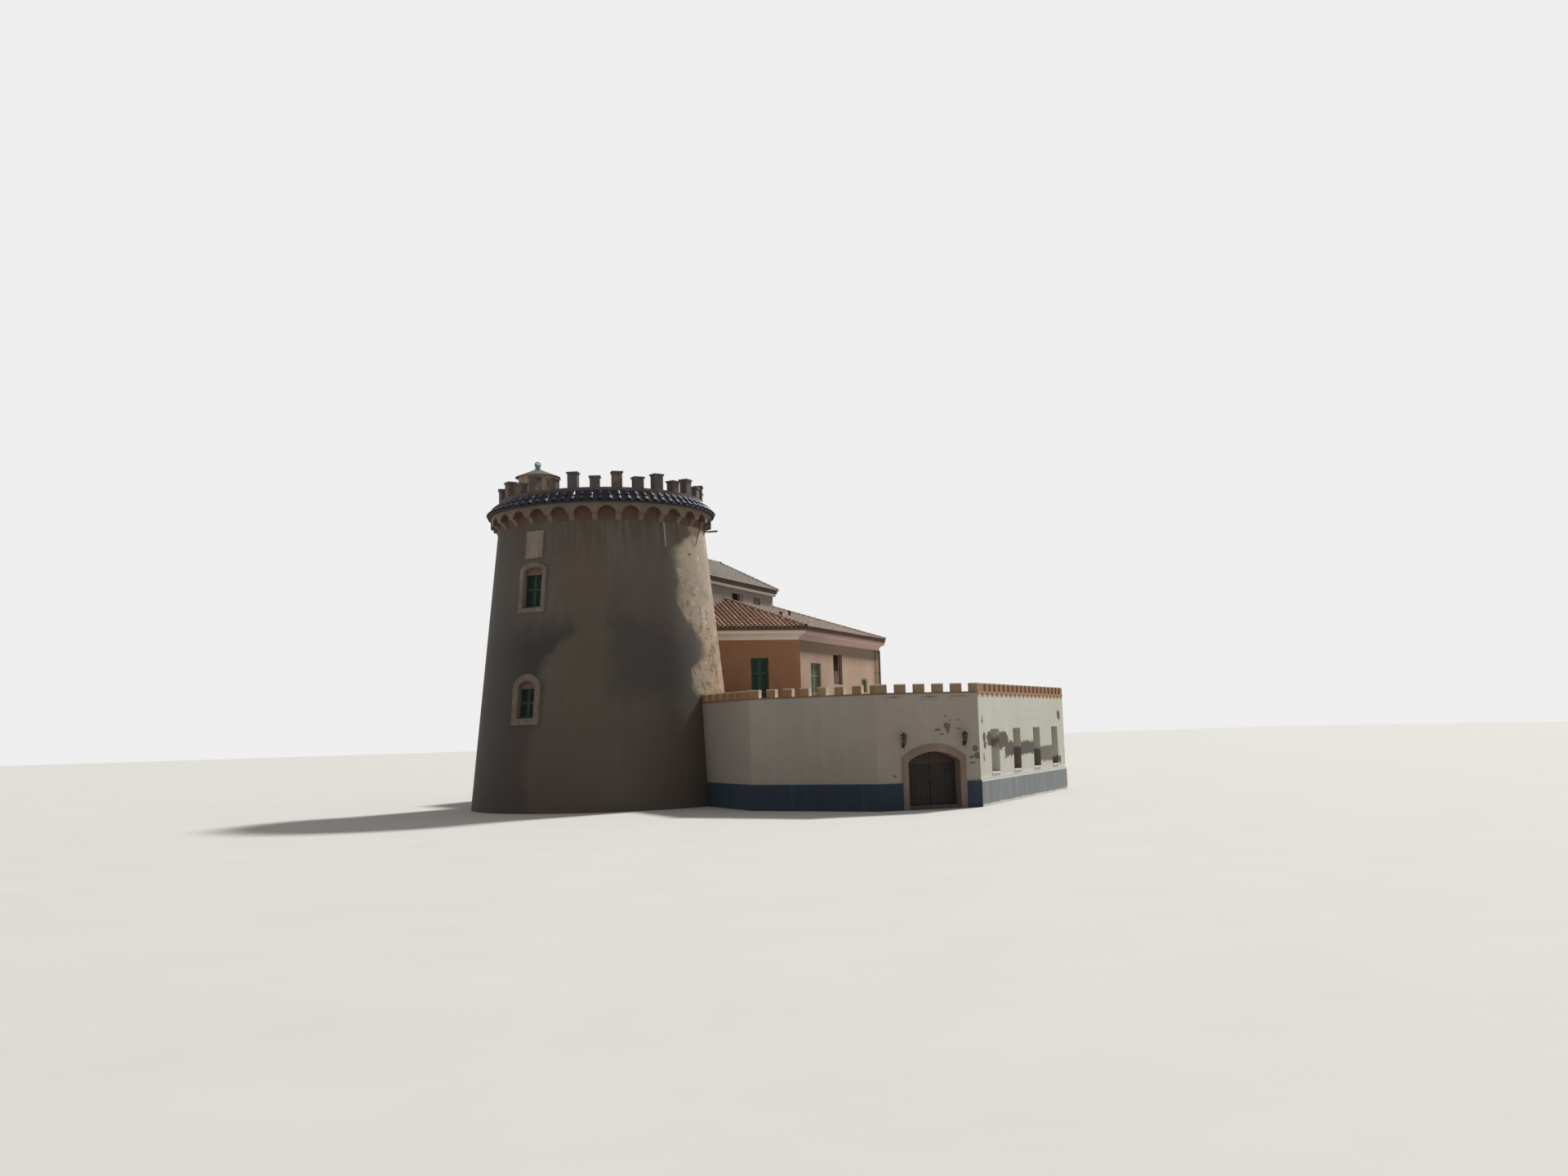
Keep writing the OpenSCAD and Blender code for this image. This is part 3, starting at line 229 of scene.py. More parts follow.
# Plaster: broad blotches, drips down the wall and a sandy surface; more layers can follow
class Plaster(Finish):
    def __init__(self, name, colour, dark, pale, blotch=0.3, drips=0.5, grain=0.35):
        super().__init__(name, colour, 0.92)
        self.broad = self.noise(0.35, 5.0)
        self.mid = self.noise(2.2, 5.0)
        self.fine = self.noise(14.0, 6.0, 0.7)
        drip = self.noise(1.0, 4.0, stretched=(2.2, 2.2, 0.16))
        self.shade = self.mix(self.broad.above(0.5, blotch), dark, colour)
        self.layer(drip.above(0.62, 0.12) * drips, pale)
        self.layer(self.mid.below(0.4, 0.15) * 0.35, dark)
        self.layer(self.fine.below(0.42, 0.12) * 0.25, dark)
        self.height = self.fine
        self.grain = grain

    def layer(self, mask, colour):
        self.shade = self.mix(mask, self.shade, colour)

    # Where plaster has fallen off: another colour, a little deeper
    def fallen(self, mask, colour, depth=0.6):
        self.layer(mask, colour)
        self.height = self.height - mask * depth

    def done(self):
        self.set("Base Color", self.shade)
        self.bump(self.height, self.grain, 0.02)
        return self


def shown(name, mesh, finish, smooth=False):
    mesh.materials.append(finish.material)
    if smooth:
        mesh.shade_smooth()
        mesh.set_sharp_from_angle(angle=math.radians(40))
    made = bpy.data.objects.new(name, mesh)
    scene.collection.objects.link(made)
    return made


# Cosine and sine at even steps round a circle
def circle(sides):
    return [(math.cos(2 * math.pi * k / sides), math.sin(2 * math.pi * k / sides)) for k in range(sides)]


# The turn that lays X and Y along two directions
def axes(x, y):
    return Matrix((x, y, x.cross(y))).transposed().to_4x4()


# A mesh under construction, piece by piece
class Pile:
    def __init__(self):
        self.points, self.faces = [], []
        self.hollowFrom = None

    def add(self, points, faces, place=None):
        first = len(self.points)
        flip = place is not None and place.determinant() < 0
        for p in points:
            self.points.append(tuple(place @ Vector(p)) if place is not None else tuple(p))
        for face in faces:
            face = [first + k for k in face]
            self.faces.append(face[::-1] if flip else face)
        return self

    def block(self, low, high, place=None):
        corners = [(x, y, z) for x in (low[0], high[0]) for y in (low[1], high[1]) for z in (low[2], high[2])]
        return self.add(corners, [(0, 1, 3, 2), (4, 6, 7, 5), (0, 4, 5, 1), (2, 3, 7, 6), (0, 2, 6, 4),
                                  (1, 5, 7, 3)], place)

    # An upright outline seen from the front, from near to far along Y
    def slab(self, outline, near, far, place=None):
        n = len(outline)
        points = [(x, near, z) for x, z in outline] + [(x, far, z) for x, z in outline]
        sides = [(k, k + n, (k + 1) % n + n, (k + 1) % n) for k in range(n)]
        return self.add(points, [range(n), range(2 * n - 1, n - 1, -1)] + sides, place)

    # A profile of (radius, height) turned round Z, closed at both ends
    def lathe(self, profile, sides=16, place=None):
        n = len(profile)
        points = [(r * c, r * s, z) for c, s in circle(sides) for r, z in profile]
        faces = [(k * n + j, (k + 1) % sides * n + j, (k + 1) % sides * n + j + 1, k * n + j + 1)
                 for k in range(sides) for j in range(n - 1)]
        caps = [[k * n for k in range(sides - 1, -1, -1)], [k * n + n - 1 for k in range(sides)]]
        return self.add(points, faces + caps, place)

    # Rings of points joined in turn, closed both ways
    def hoop(self, rings, place=None):
        n, m = len(rings), len(rings[0])
        faces = [(m * k + j, m * ((k + 1) % n) + j, m * ((k + 1) % n) + (j + 1) % m, m * k + (j + 1) % m)
                 for k in range(n) for j in range(m)]
        return self.add([p for ring in rings for p in ring], faces, place)

    def rod(self, start, end, radius, sides=8, place=None, tip=None):
        start, end = Vector(start), Vector(end)
        axis = (end - start).to_track_quat("Z", "Y").to_matrix().to_4x4()
        at = Matrix.Translation(start) @ axis
        return self.lathe([(radius, 0), (radius if tip is None else tip, (end - start).length)], sides,
                          at if place is None else place @ at)

    def piece(self, name, finish, body="building", bevel=0.0, smooth=False):
        mesh = bpy.data.meshes.new(name)
        mesh.from_pydata(self.points, [], self.faces)
        made = shown(name, mesh, finish, smooth)
        if bevel:
            edge = made.modifiers.new("bevel", "BEVEL")
            edge.width = bevel
            edge.segments = 1
        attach(made, body)
        return made


# Many copies of one small shape, each with its own tone; hollow is 1 in the gutters between
def stamp(name, shape, places, finish):
    points = np.array([list(p) + [1.0] for p in shape.points])
    grid = np.array([[list(row) for row in m] for m, tone in places])
    placed = np.einsum("mij,pj->mpi", grid, points)[:, :, :3].reshape(-1, 3)
    count = len(points)
    faces = [[k * count + v for v in face] for k in range(len(places)) for face in shape.faces]
    mesh = bpy.data.meshes.new(name)
    mesh.from_pydata(placed.tolist(), [], faces)
    tones = np.repeat([tone for m, tone in places], count)
    hollow = [float(shape.hollowFrom is not None and k >= shape.hollowFrom) for k in range(count)]
    for label, values in (("tone", tones), ("hollow", np.tile(hollow, len(places)))):
        mesh.attributes.new(label, "FLOAT", "POINT").data.foreach_set("value", values)
    made = shown(name, mesh, finish, True)
    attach(made, "building")


# Main lines of the building, in metres
tower = {"footR": 6.73, "neckR": 5.32, "wallTop": 13.87, "batter": 5.805, "windowsFace": 225.0}
wing = {"gateX": 11.955, "slottedCorner": (14.11, -14.97), "slottedTurn": 48.5}
house = {"turn": 52.5, "frontU": 7.997, "halfWidth": 7.77, "endAngle": 52.5, "eaveZ": 9.12, "slope": 0.34,
         "eaves": [(1.559, 0), (7.851, -8.2), (22.359, -8.2), (28.651, 0), (22.359, 8.2), (7.851, 8.2)],
         "ridge": ((11.895, 0), (18.315, 0))}
clerestory = {"nearU": 6.785, "farU": 18.308, "halfWidth": 2.07, "eaveZ": 12.36, "sideSlope": 0.648,
              "endSlope": 0.396, "eaves": [(6.555, -2.3), (18.538, -2.3), (18.538, 2.3), (6.555, 2.3)],
              "ridge": ((10.315, 0), (14.778, 0))}
houseTurn = turned(house["turn"])
slottedPlace = moved(*wing["slottedCorner"], 0) @ turned(wing["slottedTurn"])
slottedAlong, slottedOut = heading(wing["slottedTurn"]), heading(wing["slottedTurn"] - 90)


def towerRadius(z):
    return tower["footR"] - (tower["footR"] - tower["neckR"]) * z / tower["wallTop"]


# Local frame on the leaning wall: X to the right, Y into the wall, Z up the slope
def onTower(z, degrees=tower["windowsFace"]):
    return turned(degrees) @ moved(towerRadius(z), 0, z) @ turned(-tower["batter"], "Y") @ turned(90)


# The same on the house's long side and on its end wall; flip is -1 on the far side
def onSide(s, flip=1):
    return houseTurn @ Matrix.Diagonal((1, flip, 1, 1)) @ moved(house["frontU"] + s, -house["halfWidth"], 0)


def onEnd(s, flip=1):
    a = math.radians(house["endAngle"])
    return (houseTurn @ Matrix.Diagonal((1, flip, 1, 1)) @
            moved(house["frontU"] - s * math.cos(a), -house["halfWidth"] + s * math.sin(a), 0) @
            turned(-house["endAngle"]))


# Tower: grey-brown render with dark damp fields, and on the side the sun reaches pale flaking render, painted
# paler still as painted sunlight. The edge of a field is a list of heights by degrees round the wall, or of
# degrees by height
fields = {"foot": 5.2, "dampTop": [(-2.5, 9.9), (12.0, 9.1), (35.0, 8.4), (44.8, 8.2)],
          "dampLeft": [(3.0, -42.0), (6.5, -37.0), (7.1, -35.0), (7.9, -27.0), (8.6, -22.0)],
          "sunlit": [(5.2, 42.0), (5.7, 36.0), (6.5, 36.0), (7.3, 48.0), (8.2, 46.0), (9.7, 32.0),
                     (12.6, 31.0), (13.4, 45.0)]}
towerRender = Plaster("towerRender", "#655e55", "#5a534b", "#736a5f", drips=0.35, grain=0.6)
towerZ, degrees = towerRender.z, towerRender.roundTower()
warp = towerRender.noise(0.7, 6.0, 0.65) - 0.5
around = degrees + warp * 22.0
level = towerRender.uneven(towerZ, 0.9, 2.0, 6.0, 0.65)
towerRender.layer(around.between(-27.0, -6.0, 5.0) * 0.6, "#63564a")
damp = around.above(-5.0, 5.0) * level.below(around.follow(fields["dampTop"]), 1.1)
dampLeft = around.below(towerZ.follow(fields["dampLeft"]), 5.0) * (towerZ + warp * 1.6).below(8.8, 1.0)
towerRender.layer(damp * level.above(fields["foot"], 1.1) * 0.9, "#4c4644")
towerRender.layer(dampLeft * 0.95, "#343031")
towerRender.layer(towerZ.below(4.6, 1.2) * 0.5, "#5d5047")
towerRender.layer(around.below(-52.0, 12.0) * 0.75, "#504a47")
towerRender.layer(towerZ.below(10.5, 2.5) * 0.22, "#423b35")
underCorbels = towerRender.noise(1.4, 4.0, stretched=(3.0, 3.0, 0.2))
towerRender.layer(underCorbels.above(0.5, 0.1) * towerZ.above(12.4, 1.3) * 0.55, "#4a4039")
# Painted sunlight and real flaking: the side the sun reaches is painted paler
flakingAndPaintedSun = around.above(towerZ.follow(fields["sunlit"]), 3.0) * level.above(fields["foot"], 0.3)
towerRender.layer(flakingAndPaintedSun, "#9d8e7b")
flakes = towerRender.noise(1.7, 7.0, 0.7)
tan = degrees.above(46.0, 6.0) * towerZ.below(9.0, 2.0)
towerRender.layer(tan * towerRender.noise(1.2, 5.0).above(0.47, 0.06) * 0.8, "#a2815f")
towerRender.fallen(flakingAndPaintedSun * flakes.above(0.56, 0.03) * towerZ.below(10.5, 2.5), "#79624d", 1.4)
towerRender.fallen(flakingAndPaintedSun * flakes.below(0.4, 0.03), "#b5a791", -0.5)
holes = towerRender.noise(3.4, 3.0, stretched=(1.0, 1.0, 1.6))
towerRender.fallen(flakingAndPaintedSun * holes.above(0.68, 0.02), "#5a4a3c", 1.5)
limeRun = degrees.between(25.6, 26.5, 0.3) * towerZ.between(12.7, 14.0, 0.2)
towerRender.layer(limeRun * 0.7, "#b3a99b")
for part in ("front_left", "front", "right", "house_side", "back", "left"):
    towerRender.on("tower_wall_" + part)
towerRender.done()

# Corbels: pale faces, reddish brown under and behind the arches; half a corbel is in degrees round
corbels = {"count": 30, "faceR": 5.665, "half": 1.62, "archTop": 14.56}
corbelStone = Plaster("corbelStone", "#7d6f62", "#63574c", "#94867a", grain=0.5)
outward = corbelStone.sum("SQRT", corbelStone.x * corbelStone.x + corbelStone.y * corbelStone.y)
fromCorbel = corbelStone.sum("PINGPONG", corbelStone.roundTower(), 180 / corbels["count"])
underArches = outward.below(corbels["faceR"], 0.005) * fromCorbel.above(corbels["half"], 0.05)
corbelStone.layer(underArches * corbelStone.z.below(corbels["archTop"], 0.01) * 0.9, "#5a4036")
corbelStone.done().on("corbel_table")

battlement = Plaster("battlement", "#615955", "#4c4441", "#7d746d", grain=0.5)
battlement.layer(battlement.facing((0, 0, 1)).above(0.6, 0.2) * 0.7, "#8b8073")
battlement.layer(battlement.mid.above(0.6, 0.06) * 0.6, "#8f7058")
battlement.done().on("parapet", "parapet_merlons", "merlon_caps")

Plaster("skirtBed", "#2a2b33", "#1b1c22", "#4a443f", grain=0.6).done().on("tiled_skirt")
Plaster("turretRender", "#b5a18c", "#9a8672", "#cdb9a4", grain=0.5).done().on("turret_wall")
Plaster("turretCone", "#585240", "#433f32", "#6d6652", grain=0.9).done().on("turret_roof")

tealGlaze = Finish("tealGlaze", "#2f7f78", 0.25, coat=0.8).on("turret_finial")
tealGlaze.clouds(9.0, 0.5, 0.15, "#3f8c86", "#6fb5ad")

dressedStone = Plaster("dressedStone", "#7d7066", "#655a50", "#94877a", grain=0.5)
dressedStone.layer(dressedStone.noise(5.0, 5.0).above(0.58, 0.05) * 0.5, "#54483f")
dressedStone.done().on("window_surrounds")
plaqueStone = Plaster("plaqueStone", "#a3978e", "#81766d", "#bdb2a8", blotch=0.15, grain=0.5)
plaqueStone.done().on("plaque")
gateStone = Plaster("gateStone", "#8f7c6e", "#776558", "#a39284", grain=0.4)
gateStone.layer(gateStone.z.below(0.9, 0.6) * 0.4, "#6d6158")
gateStone.done().on("gate_surround")
Plaster("stepStone", "#57504a", "#453f3a", "#6b635b", grain=0.5).done().on("gate_threshold")

# Wing: grey render in the shade, with fallen patches and cracks under the coping. A patch is its place across
# and up the wall, then half its width and height
gatePatches = [
    (12.62, 3.52, 0.15, 0.16), (12.66, 3.35, 0.07, 0.14), (12.18, 3.37, 0.14, 0.05),
    (12.34, 3.19, 0.09, 0.04), (12.75, 3.78, 0.07, 0.03), (12.53, 3.94, 0.06, 0.03),
    (13.16, 3.79, 0.04, 0.05), (13.17, 3.4, 0.15, 0.03), (13.88, 2.52, 0.15, 0.12),
    (13.97, 2.22, 0.13, 0.15), (13.7, 2.16, 0.13, 0.07), (13.74, 1.92, 0.15, 0.04),
    (13.33, 1.25, 0.05, 0.05), (10.15, 1.44, 0.08, 0.05)]
gateRender = Plaster("gateRender", "#a49b91", "#978d83", "#aea59b", drips=0.3, grain=0.3)
across = gateRender.uneven(gateRender.x, 6.0, 0.22)
rise = gateRender.uneven(gateRender.z, 7.0, 0.22)
gateRender.fallen(gateRender.ovals(across, rise, gatePatches) * 0.9, "#5f544b", 1.6)
gaps = gateRender.noise(1.8, 3.0).above(0.47, 0.03)
crack = rise.between(4.79, 4.83, 0.012) * gateRender.x.between(9.9, 13.5, 0.1)
crack = crack.atLeast(rise.between(4.69, 4.71, 0.01) * gateRender.x.between(11.2, 12.4, 0.1))
gateRender.fallen(crack * gaps * 0.9, "#5d5249", 1.6)
gateRender.done().on("gate_wall_left", "gate_wall_right", "gate_wall_over")
blankRender = Plaster("blankRender", "#a29a91", "#958c83", "#aca49b", drips=0.3, grain=0.3)
blankRender.done().on("wing_blank_walls")

# The sunlit wall, with brown bands of fallen render between its windows and stains in them. A band is where
# it starts and ends, its foot and its top; a stain is the middle of its window, its foot and its top
slotPatches = [
    (0.67, 3.0, 0.2, 0.22), (0.79, 2.62, 0.18, 0.17), (1.5, 2.86, 0.42, 0.32), (3.62, 2.86, 0.8, 0.36),
    (3.2, 2.62, 0.5, 0.24), (0.6, 2.1, 0.08, 0.25), (0.5, 3.75, 0.12, 0.2), (13.9, 3.9, 0.25, 0.25),
    (13.78, 1.58, 0.3, 0.2)]
slotBands = ((3.75, 5.45, 2.02, 2.72), (6.4, 8.95, 2.06, 2.68))
slotStains = ((2.33, 2.5, 2.92), (5.86, 1.2, 2.42), (9.39, 1.2, 2.28), (12.92, 1.25, 1.8))


def soakedAt(along, rise, stains):
    soaked = 0.0
    for middle, foot, top in stains:
        inWindow = along.between(middle - 0.8, middle + 0.8, 0.05)
        soaked = (inWindow * rise.between(foot, top, 0.06)).atLeast(soaked)
    return soaked


# This render is painted paler than the same render on the shaded walls, as painted sunlight
sunlitRender = Plaster("sunlitRender", "#c8c7b9", "#bcbbac", "#d6d5ca", drips=0.4, grain=0.3)
straight = sunlitRender.alongSlots()
along = sunlitRender.uneven(straight, 2.6, 0.9, 6.0)
rise = sunlitRender.uneven(sunlitRender.z, 3.2, 0.6, 6.0)
bands = sunlitRender.ovals(along, rise, slotPatches)
for start, end, foot, top in slotBands:
    bands = (along.between(start, end, 0.06) * rise.between(foot, top, 0.05)).atLeast(bands)
reveal = 1.0 - sunlitRender.facing(slottedOut).above(0.8, 0.1)
paleBand = along.between(9.95, 12.3, 0.06) * rise.between(1.62, 2.36, 0.05)
sunlitRender.fallen(bands * (1.0 - reveal) * 0.95, "#41372f", 1.4)
sunlitRender.fallen(paleBand * (1.0 - reveal) * 0.9, "#5b5045", 1.2)
sunlitRender.layer(soakedAt(straight, rise, slotStains[1:]) * reveal * 0.85, "#5c4f45")
smear = along.between(1.53, 3.13, 0.05) * rise.between(2.5, 2.95, 0.12) * sunlitRender.mid.above(0.45, 0.06)
sunlitRender.layer(smear * reveal * 0.8, "#5c4f45")
fingers = sunlitRender.sum("FRACT", (straight - 1.25) / 0.733).below(0.56, 0.04)
sunlitRender.layer(fingers * sunlitRender.z.above(4.76, 0.03), "#a07453")
hairline = rise.between(4.18, 4.20, 0.012).atLeast(rise.between(3.75, 3.77, 0.012))
broken = sunlitRender.noise(0.9, 3.0).above(0.48, 0.04)
sunlitRender.fallen(hairline * broken * 0.5, "#9a9789", 0.8)
sunlitRender.layer(sunlitRender.z.below(1.30, 0.12) * 0.8, "#dedcd1")
sunlitRender.done().on("wing_wall_slotted")
sillPaint = Plaster("sillPaint", "#dcdacf", "#c9c6ba", "#e6e4da", grain=0.2).done().on("slot_sills")

plinthPaint = Plaster("plinthPaint", "#2c3a48", "#22303c", "#3b4a58", drips=0.6, grain=0.4)
plinthFace = plinthPaint.facing(slottedOut).above(0.85, 0.05)
streaks = plinthPaint.noise(1.0, 5.0, stretched=(5.0, 5.0, 0.5))
plinthPaint.layer(plinthFace, "#74797c")
plinthPaint.layer(plinthFace * streaks.above(0.5, 0.14) * 0.5, "#8f9392")
plinthPaint.layer(plinthFace * streaks.below(0.4, 0.1) * 0.4, "#60676c")
plinthPaint.layer(plinthFace * plinthPaint.fine.above(0.6, 0.06) * 0.4, "#a5a7a2")
plinthPaint.layer(plinthFace * plinthPaint.z.above(1.08, 0.015), "#dad8cc")
plinthPaint.layer(plinthFace * (plinthPaint.z + (plinthPaint.mid - 0.5) * 0.2).below(0.10, 0.02), "#cfcabb")
plinthPaint.layer((1.0 - plinthFace) * plinthPaint.z.above(1.12, 0.01) * 0.4, "#6c7076")
plinthPaint.done().on("wing_plinth")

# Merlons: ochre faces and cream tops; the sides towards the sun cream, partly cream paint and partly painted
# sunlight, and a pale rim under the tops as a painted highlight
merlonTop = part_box("wing_merlons")[1][2]
merlonOchre = Plaster("merlonOchre", "#9b7757", "#806046", "#b08e6d", grain=0.5)
offSlots = merlonOchre.facing(-slottedOut).above(0.5, 0.1)
offSlots = merlonOchre.alongSlots().below(0.0, 0.02).atLeast(offSlots)
merlonOchre.layer(merlonOchre.facing(slottedOut).above(0.8, 0.1) * (1.0 - offSlots) * 0.8, "#8b6a51")
overGate = merlonOchre.x.between(9.3, 14.3, 0.1) * merlonOchre.facing((0, -1, 0)).above(0.9, 0.05)
merlonOchre.layer(overGate * 0.8, "#8a765d")
# Cream tops, sun-facing sides as painted sunlight, and a pale top rim as a painted highlight
creamAndPaintedSun = merlonOchre.facing((0, 0, 1)).above(0.5, 0.1)
creamAndPaintedSun = creamAndPaintedSun.atLeast(merlonOchre.facing(heading(-10)).above(0.6, 0.08) * offSlots)
creamAndPaintedSun = creamAndPaintedSun.atLeast(merlonOchre.z.above(merlonTop - 0.04, 0.012) * 0.8)
merlonOchre.layer(creamAndPaintedSun, "#cdc3af")
merlonOchre.done().on("wing_merlons")
coping = Plaster("coping", "#80694f", "#66533f", "#97806a", grain=0.5)
coping.layer(coping.facing((0, 0, 1)).above(0.5, 0.1), "#c9bfab")
coping.layer(coping.facing(slottedOut).above(0.85, 0.05), "#b07d57")
coping.done().on("wing_coping")
slab = Plaster("slab", "#8e857b", "#7b736b", "#9c958c").done()
slab.on("tower_floors", "roof_deck", "terrace_slab", "wing_floor", "house_floor")


# Wood: long grain along one axis, darker boards by turns
def wood(name, colour, dark, pale, stretch=(14.0, 14.0, 0.8), roughness=0.75):
    finish = Finish(name, colour, roughness)
    grain = finish.noise(1.0, 6.0, 0.6, stretched=stretch)
    shade = finish.mix(grain.above(0.5, 0.25), dark, colour)
    finish.shade = finish.mix(finish.noise(1.6, 4.0).above(0.6, 0.12) * 0.5, shade, pale)
    finish.set("Base Color", finish.shade)
    finish.bump(grain, 0.35, 0.006)
    return finish


def iron(name, colour, rust, roughness=0.55):
    finish = Finish(name, colour, roughness, 0.5)
    scale = finish.noise(30.0, 5.0)
    finish.set("Base Color", finish.mix(scale.above(0.58, 0.08) * 0.6, colour, rust))
    finish.bump(scale, 0.3, 0.002)
    return finish


gateTimber = wood("gateTimber", "#28211e", "#1c1715", "#352c28")
gateTimber.set("Base Color", gateTimber.mix(gateTimber.z.above(1.9, 0.03) * 0.8, gateTimber.shade, "#46362f"))
gateTimber.on("gate_leaf_left", "gate_leaf_right")
blackIron = iron("blackIron", "#1d1c1b", "#4a3024").on("gate_pintles", "wall_lanterns")
pipeMetal = iron("pipeMetal", "#4a2c28", "#6a4438", 0.6).on("downpipes")
slotTimber = wood("slotTimber", "#8a8370", "#6f6958", "#9a937f").on("slot_boards")
stained = soakedAt(slotTimber.alongSlots(), slotTimber.uneven(slotTimber.z, 4.0, 0.5), slotStains)
slotTimber.set("Base Color", slotTimber.mix(stained * 0.85, slotTimber.shade, "#54473d"))
shutterPaint = wood("shutterPaint", "#1b2f27", "#13221c", "#233a31", roughness=0.7).on("window_shutters")

# House: one render in two copies, as painted light: the warmer tan it shows in shade on the near end walls,
# and the paler pink it shows in sun on the long sides and the far end; coved cornice
shadedHouseRender = Plaster("shadedHouseRender", "#a87c5f", "#966c51", "#b98e71", drips=0.3, grain=0.3)
shadedHouseRender.done().on("house_end_walls")
sunlitHouseRender = Plaster("sunlitHouseRender", "#b39883", "#a0866f", "#c2a996", drips=0.3, grain=0.3)
# Painted shadow of the eaves: a darker band at the top of the walls
sunlitHouseRender.layer(sunlitHouseRender.z.above(7.80, 0.12) * 0.8, "#786353")
sunlitHouseRender.done().on("house_side_walls", "house_back_walls")
cornicePaint = Plaster("cornicePaint", "#f4e8d8", "#e8dbca", "#f9f0e4", grain=0.2)
pinkSide = cornicePaint.dot(cornicePaint.spot, heading(house["turn"])).above(7.92, 0.08)
pinkSide = pinkSide * cornicePaint.facing(heading(house["turn"] - 90)).above(0.3, 0.08)
cornicePaint.layer(pinkSide, "#c4a49c")
cornicePaint.done().on("house_cornice")
lilacRender = Plaster("lilacRender", "#8f867f", "#7d746e", "#a1988f", grain=0.3).done().on("clerestory_walls")
greenPaint = wood("greenPaint", "#1f4236", "#173429", "#2b5245", roughness=0.6).on("house_doors")
sagePaint = wood("sagePaint", "#68795a", "#536447", "#84926f", roughness=0.65)
paleFrame = wood("paleFrame", "#a5a377", "#8d8b62", "#b5b389", roughness=0.65)
greyBoard = wood("greyBoard", "#7d756c", "#6a635b", "#8e867c")
brownPaint = wood("brownPaint", "#6b4234", "#543227", "#7d5243", roughness=0.6).on("house_windows")
lintelWood = wood("lintelWood", "#74564d", "#5c433b", "#87685d", (0.8, 14.0, 14.0))
# Dark sheets in the house's openings: painted shade standing for the dark inside
shadePane = Finish("shadePane", "#1c1815", 0.95)
shadePane.set("Specular IOR Level", 0.1)
shadePane.clouds(2.0, 0.5, 0.2, "#120e0c", "#241a16")


# Fired clay: every tile has its own tone, with lichen and dust over it; the pans between the covers are
# painted dark, as painted shade
def clay(name, colours, dust, dustShare, panShadeColour, panShadeShare, roughness=0.85, coat=0.0):
    finish = Finish(name, colours[0], roughness, coat=coat)
    tone = finish.marked("tone")
    shade = finish.mix(tone.above(0.35, 0.2), colours[0], colours[1])
    shade = finish.mix(tone.above(0.72, 0.1), shade, colours[2])
    speckle = finish.noise(9.0, 5.0, 0.7)
    shade = finish.mix(speckle.above(1.0 - dustShare, 0.12) * 0.6, shade, dust)
    shade = finish.mix(finish.noise(0.5, 4.0).below(0.42, 0.1) * 0.3, shade, colours[0])
    # Pans painted dark as painted shade
    shade = finish.mix(finish.marked("hollow") * panShadeShare, shade, panShadeColour)
    finish.set("Base Color", shade)
    finish.bump(speckle, 0.3, 0.01)
    return finish


redTile = clay("redTile", ["#86634e", "#9d765e", "#b18d74"], "#bda38d", 0.42, "#281a15", 1.0)
dustyTile = clay("dustyTile", ["#7f6a5d", "#8f7a6c", "#9e897a"], "#a59688", 0.5, "#62513f", 0.6)
greyTile = clay("greyTile", ["#746a63", "#837971", "#928880"], "#9c948b", 0.5, "#5b524b", 0.6)
glazedTile = clay("glazedTile", ["#14172a", "#1c2138", "#2d2523"], "#4b433e", 0.3, "#121218", 0.7, 0.52, 0.03)
roofBed = Plaster("roofBed", "#685040", "#544032", "#7c6553", grain=0.7)
roofBed.done().on("house_roof", "clerestory_roof")
print("finishes made")


# A half-round tile lying along Y, its wide end low; lift raises the low end over the tile below
def coverTile(wide, narrow, length, lift, sides=6, skirt=0.0, wall=0.014, base=0.02):
    shape = Pile()
    points = []
    for y, r, up in ((0.0, wide, lift), (length, narrow, 0.0),
                     (0.0, wide - wall, lift), (length, narrow - wall, 0.0)):
        ring = []
        for k in range(sides + 1):
            a = math.pi * k / sides
            ring.append((r * math.cos(a), y, base + up + r * math.sin(a)))
        if skirt:
            ring = [(ring[0][0], y, ring[0][2] - skirt)] + ring + [(ring[-1][0], y, ring[-1][2] - skirt)]
        points += ring
    n = len(points) // 4
    faces = []
    for k in range(n - 1):
        faces += [(k, n + k, n + k + 1, k + 1), (2 * n + k, 2 * n + k + 1, 3 * n + k + 1, 3 * n + k),
                  (k, k + 1, 2 * n + k + 1, 2 * n + k), (n + k, 3 * n + k, 3 * n + k + 1, n + k + 1)]
    faces += [(0, 2 * n, 3 * n, n), (n - 1, 2 * n - 1, 4 * n - 1, 3 * n - 1)]
    return shape.add(points, faces)


# The hollow tile between two covers
def panTile(shape, x, half, length, sides=4, middle=0.034, sag=0.4, step=0.008):
    shape.hollowFrom = len(shape.points)
    ring = []
    for k in range(sides + 1):
        a = math.pi * (1 + k / sides)
        ring.append((x + half * math.cos(a), middle + sag * half * math.sin(a)))
    points = [(px, 0.0, pz + step) for px, pz in ring] + [(px, length, pz) for px, pz in ring]
    n = sides + 1
    return shape.add(points, [(k, k + 1, n + k + 1, n + k) for k in range(sides)])


roofTile = {"pitch": 0.258, "row": 0.36, "wide": 0.088, "narrow": 0.073, "length": 0.43, "lift": 0.022,
            "panAt": 0.129, "panHalf": 0.086, "overhang": 0.05, "clear": 0.12, "jog": 0.006}
ridgeTile = {"step": 0.34, "wide": 0.125, "narrow": 0.105, "length": 0.42, "overhang": 0.03, "lift": 0.05}


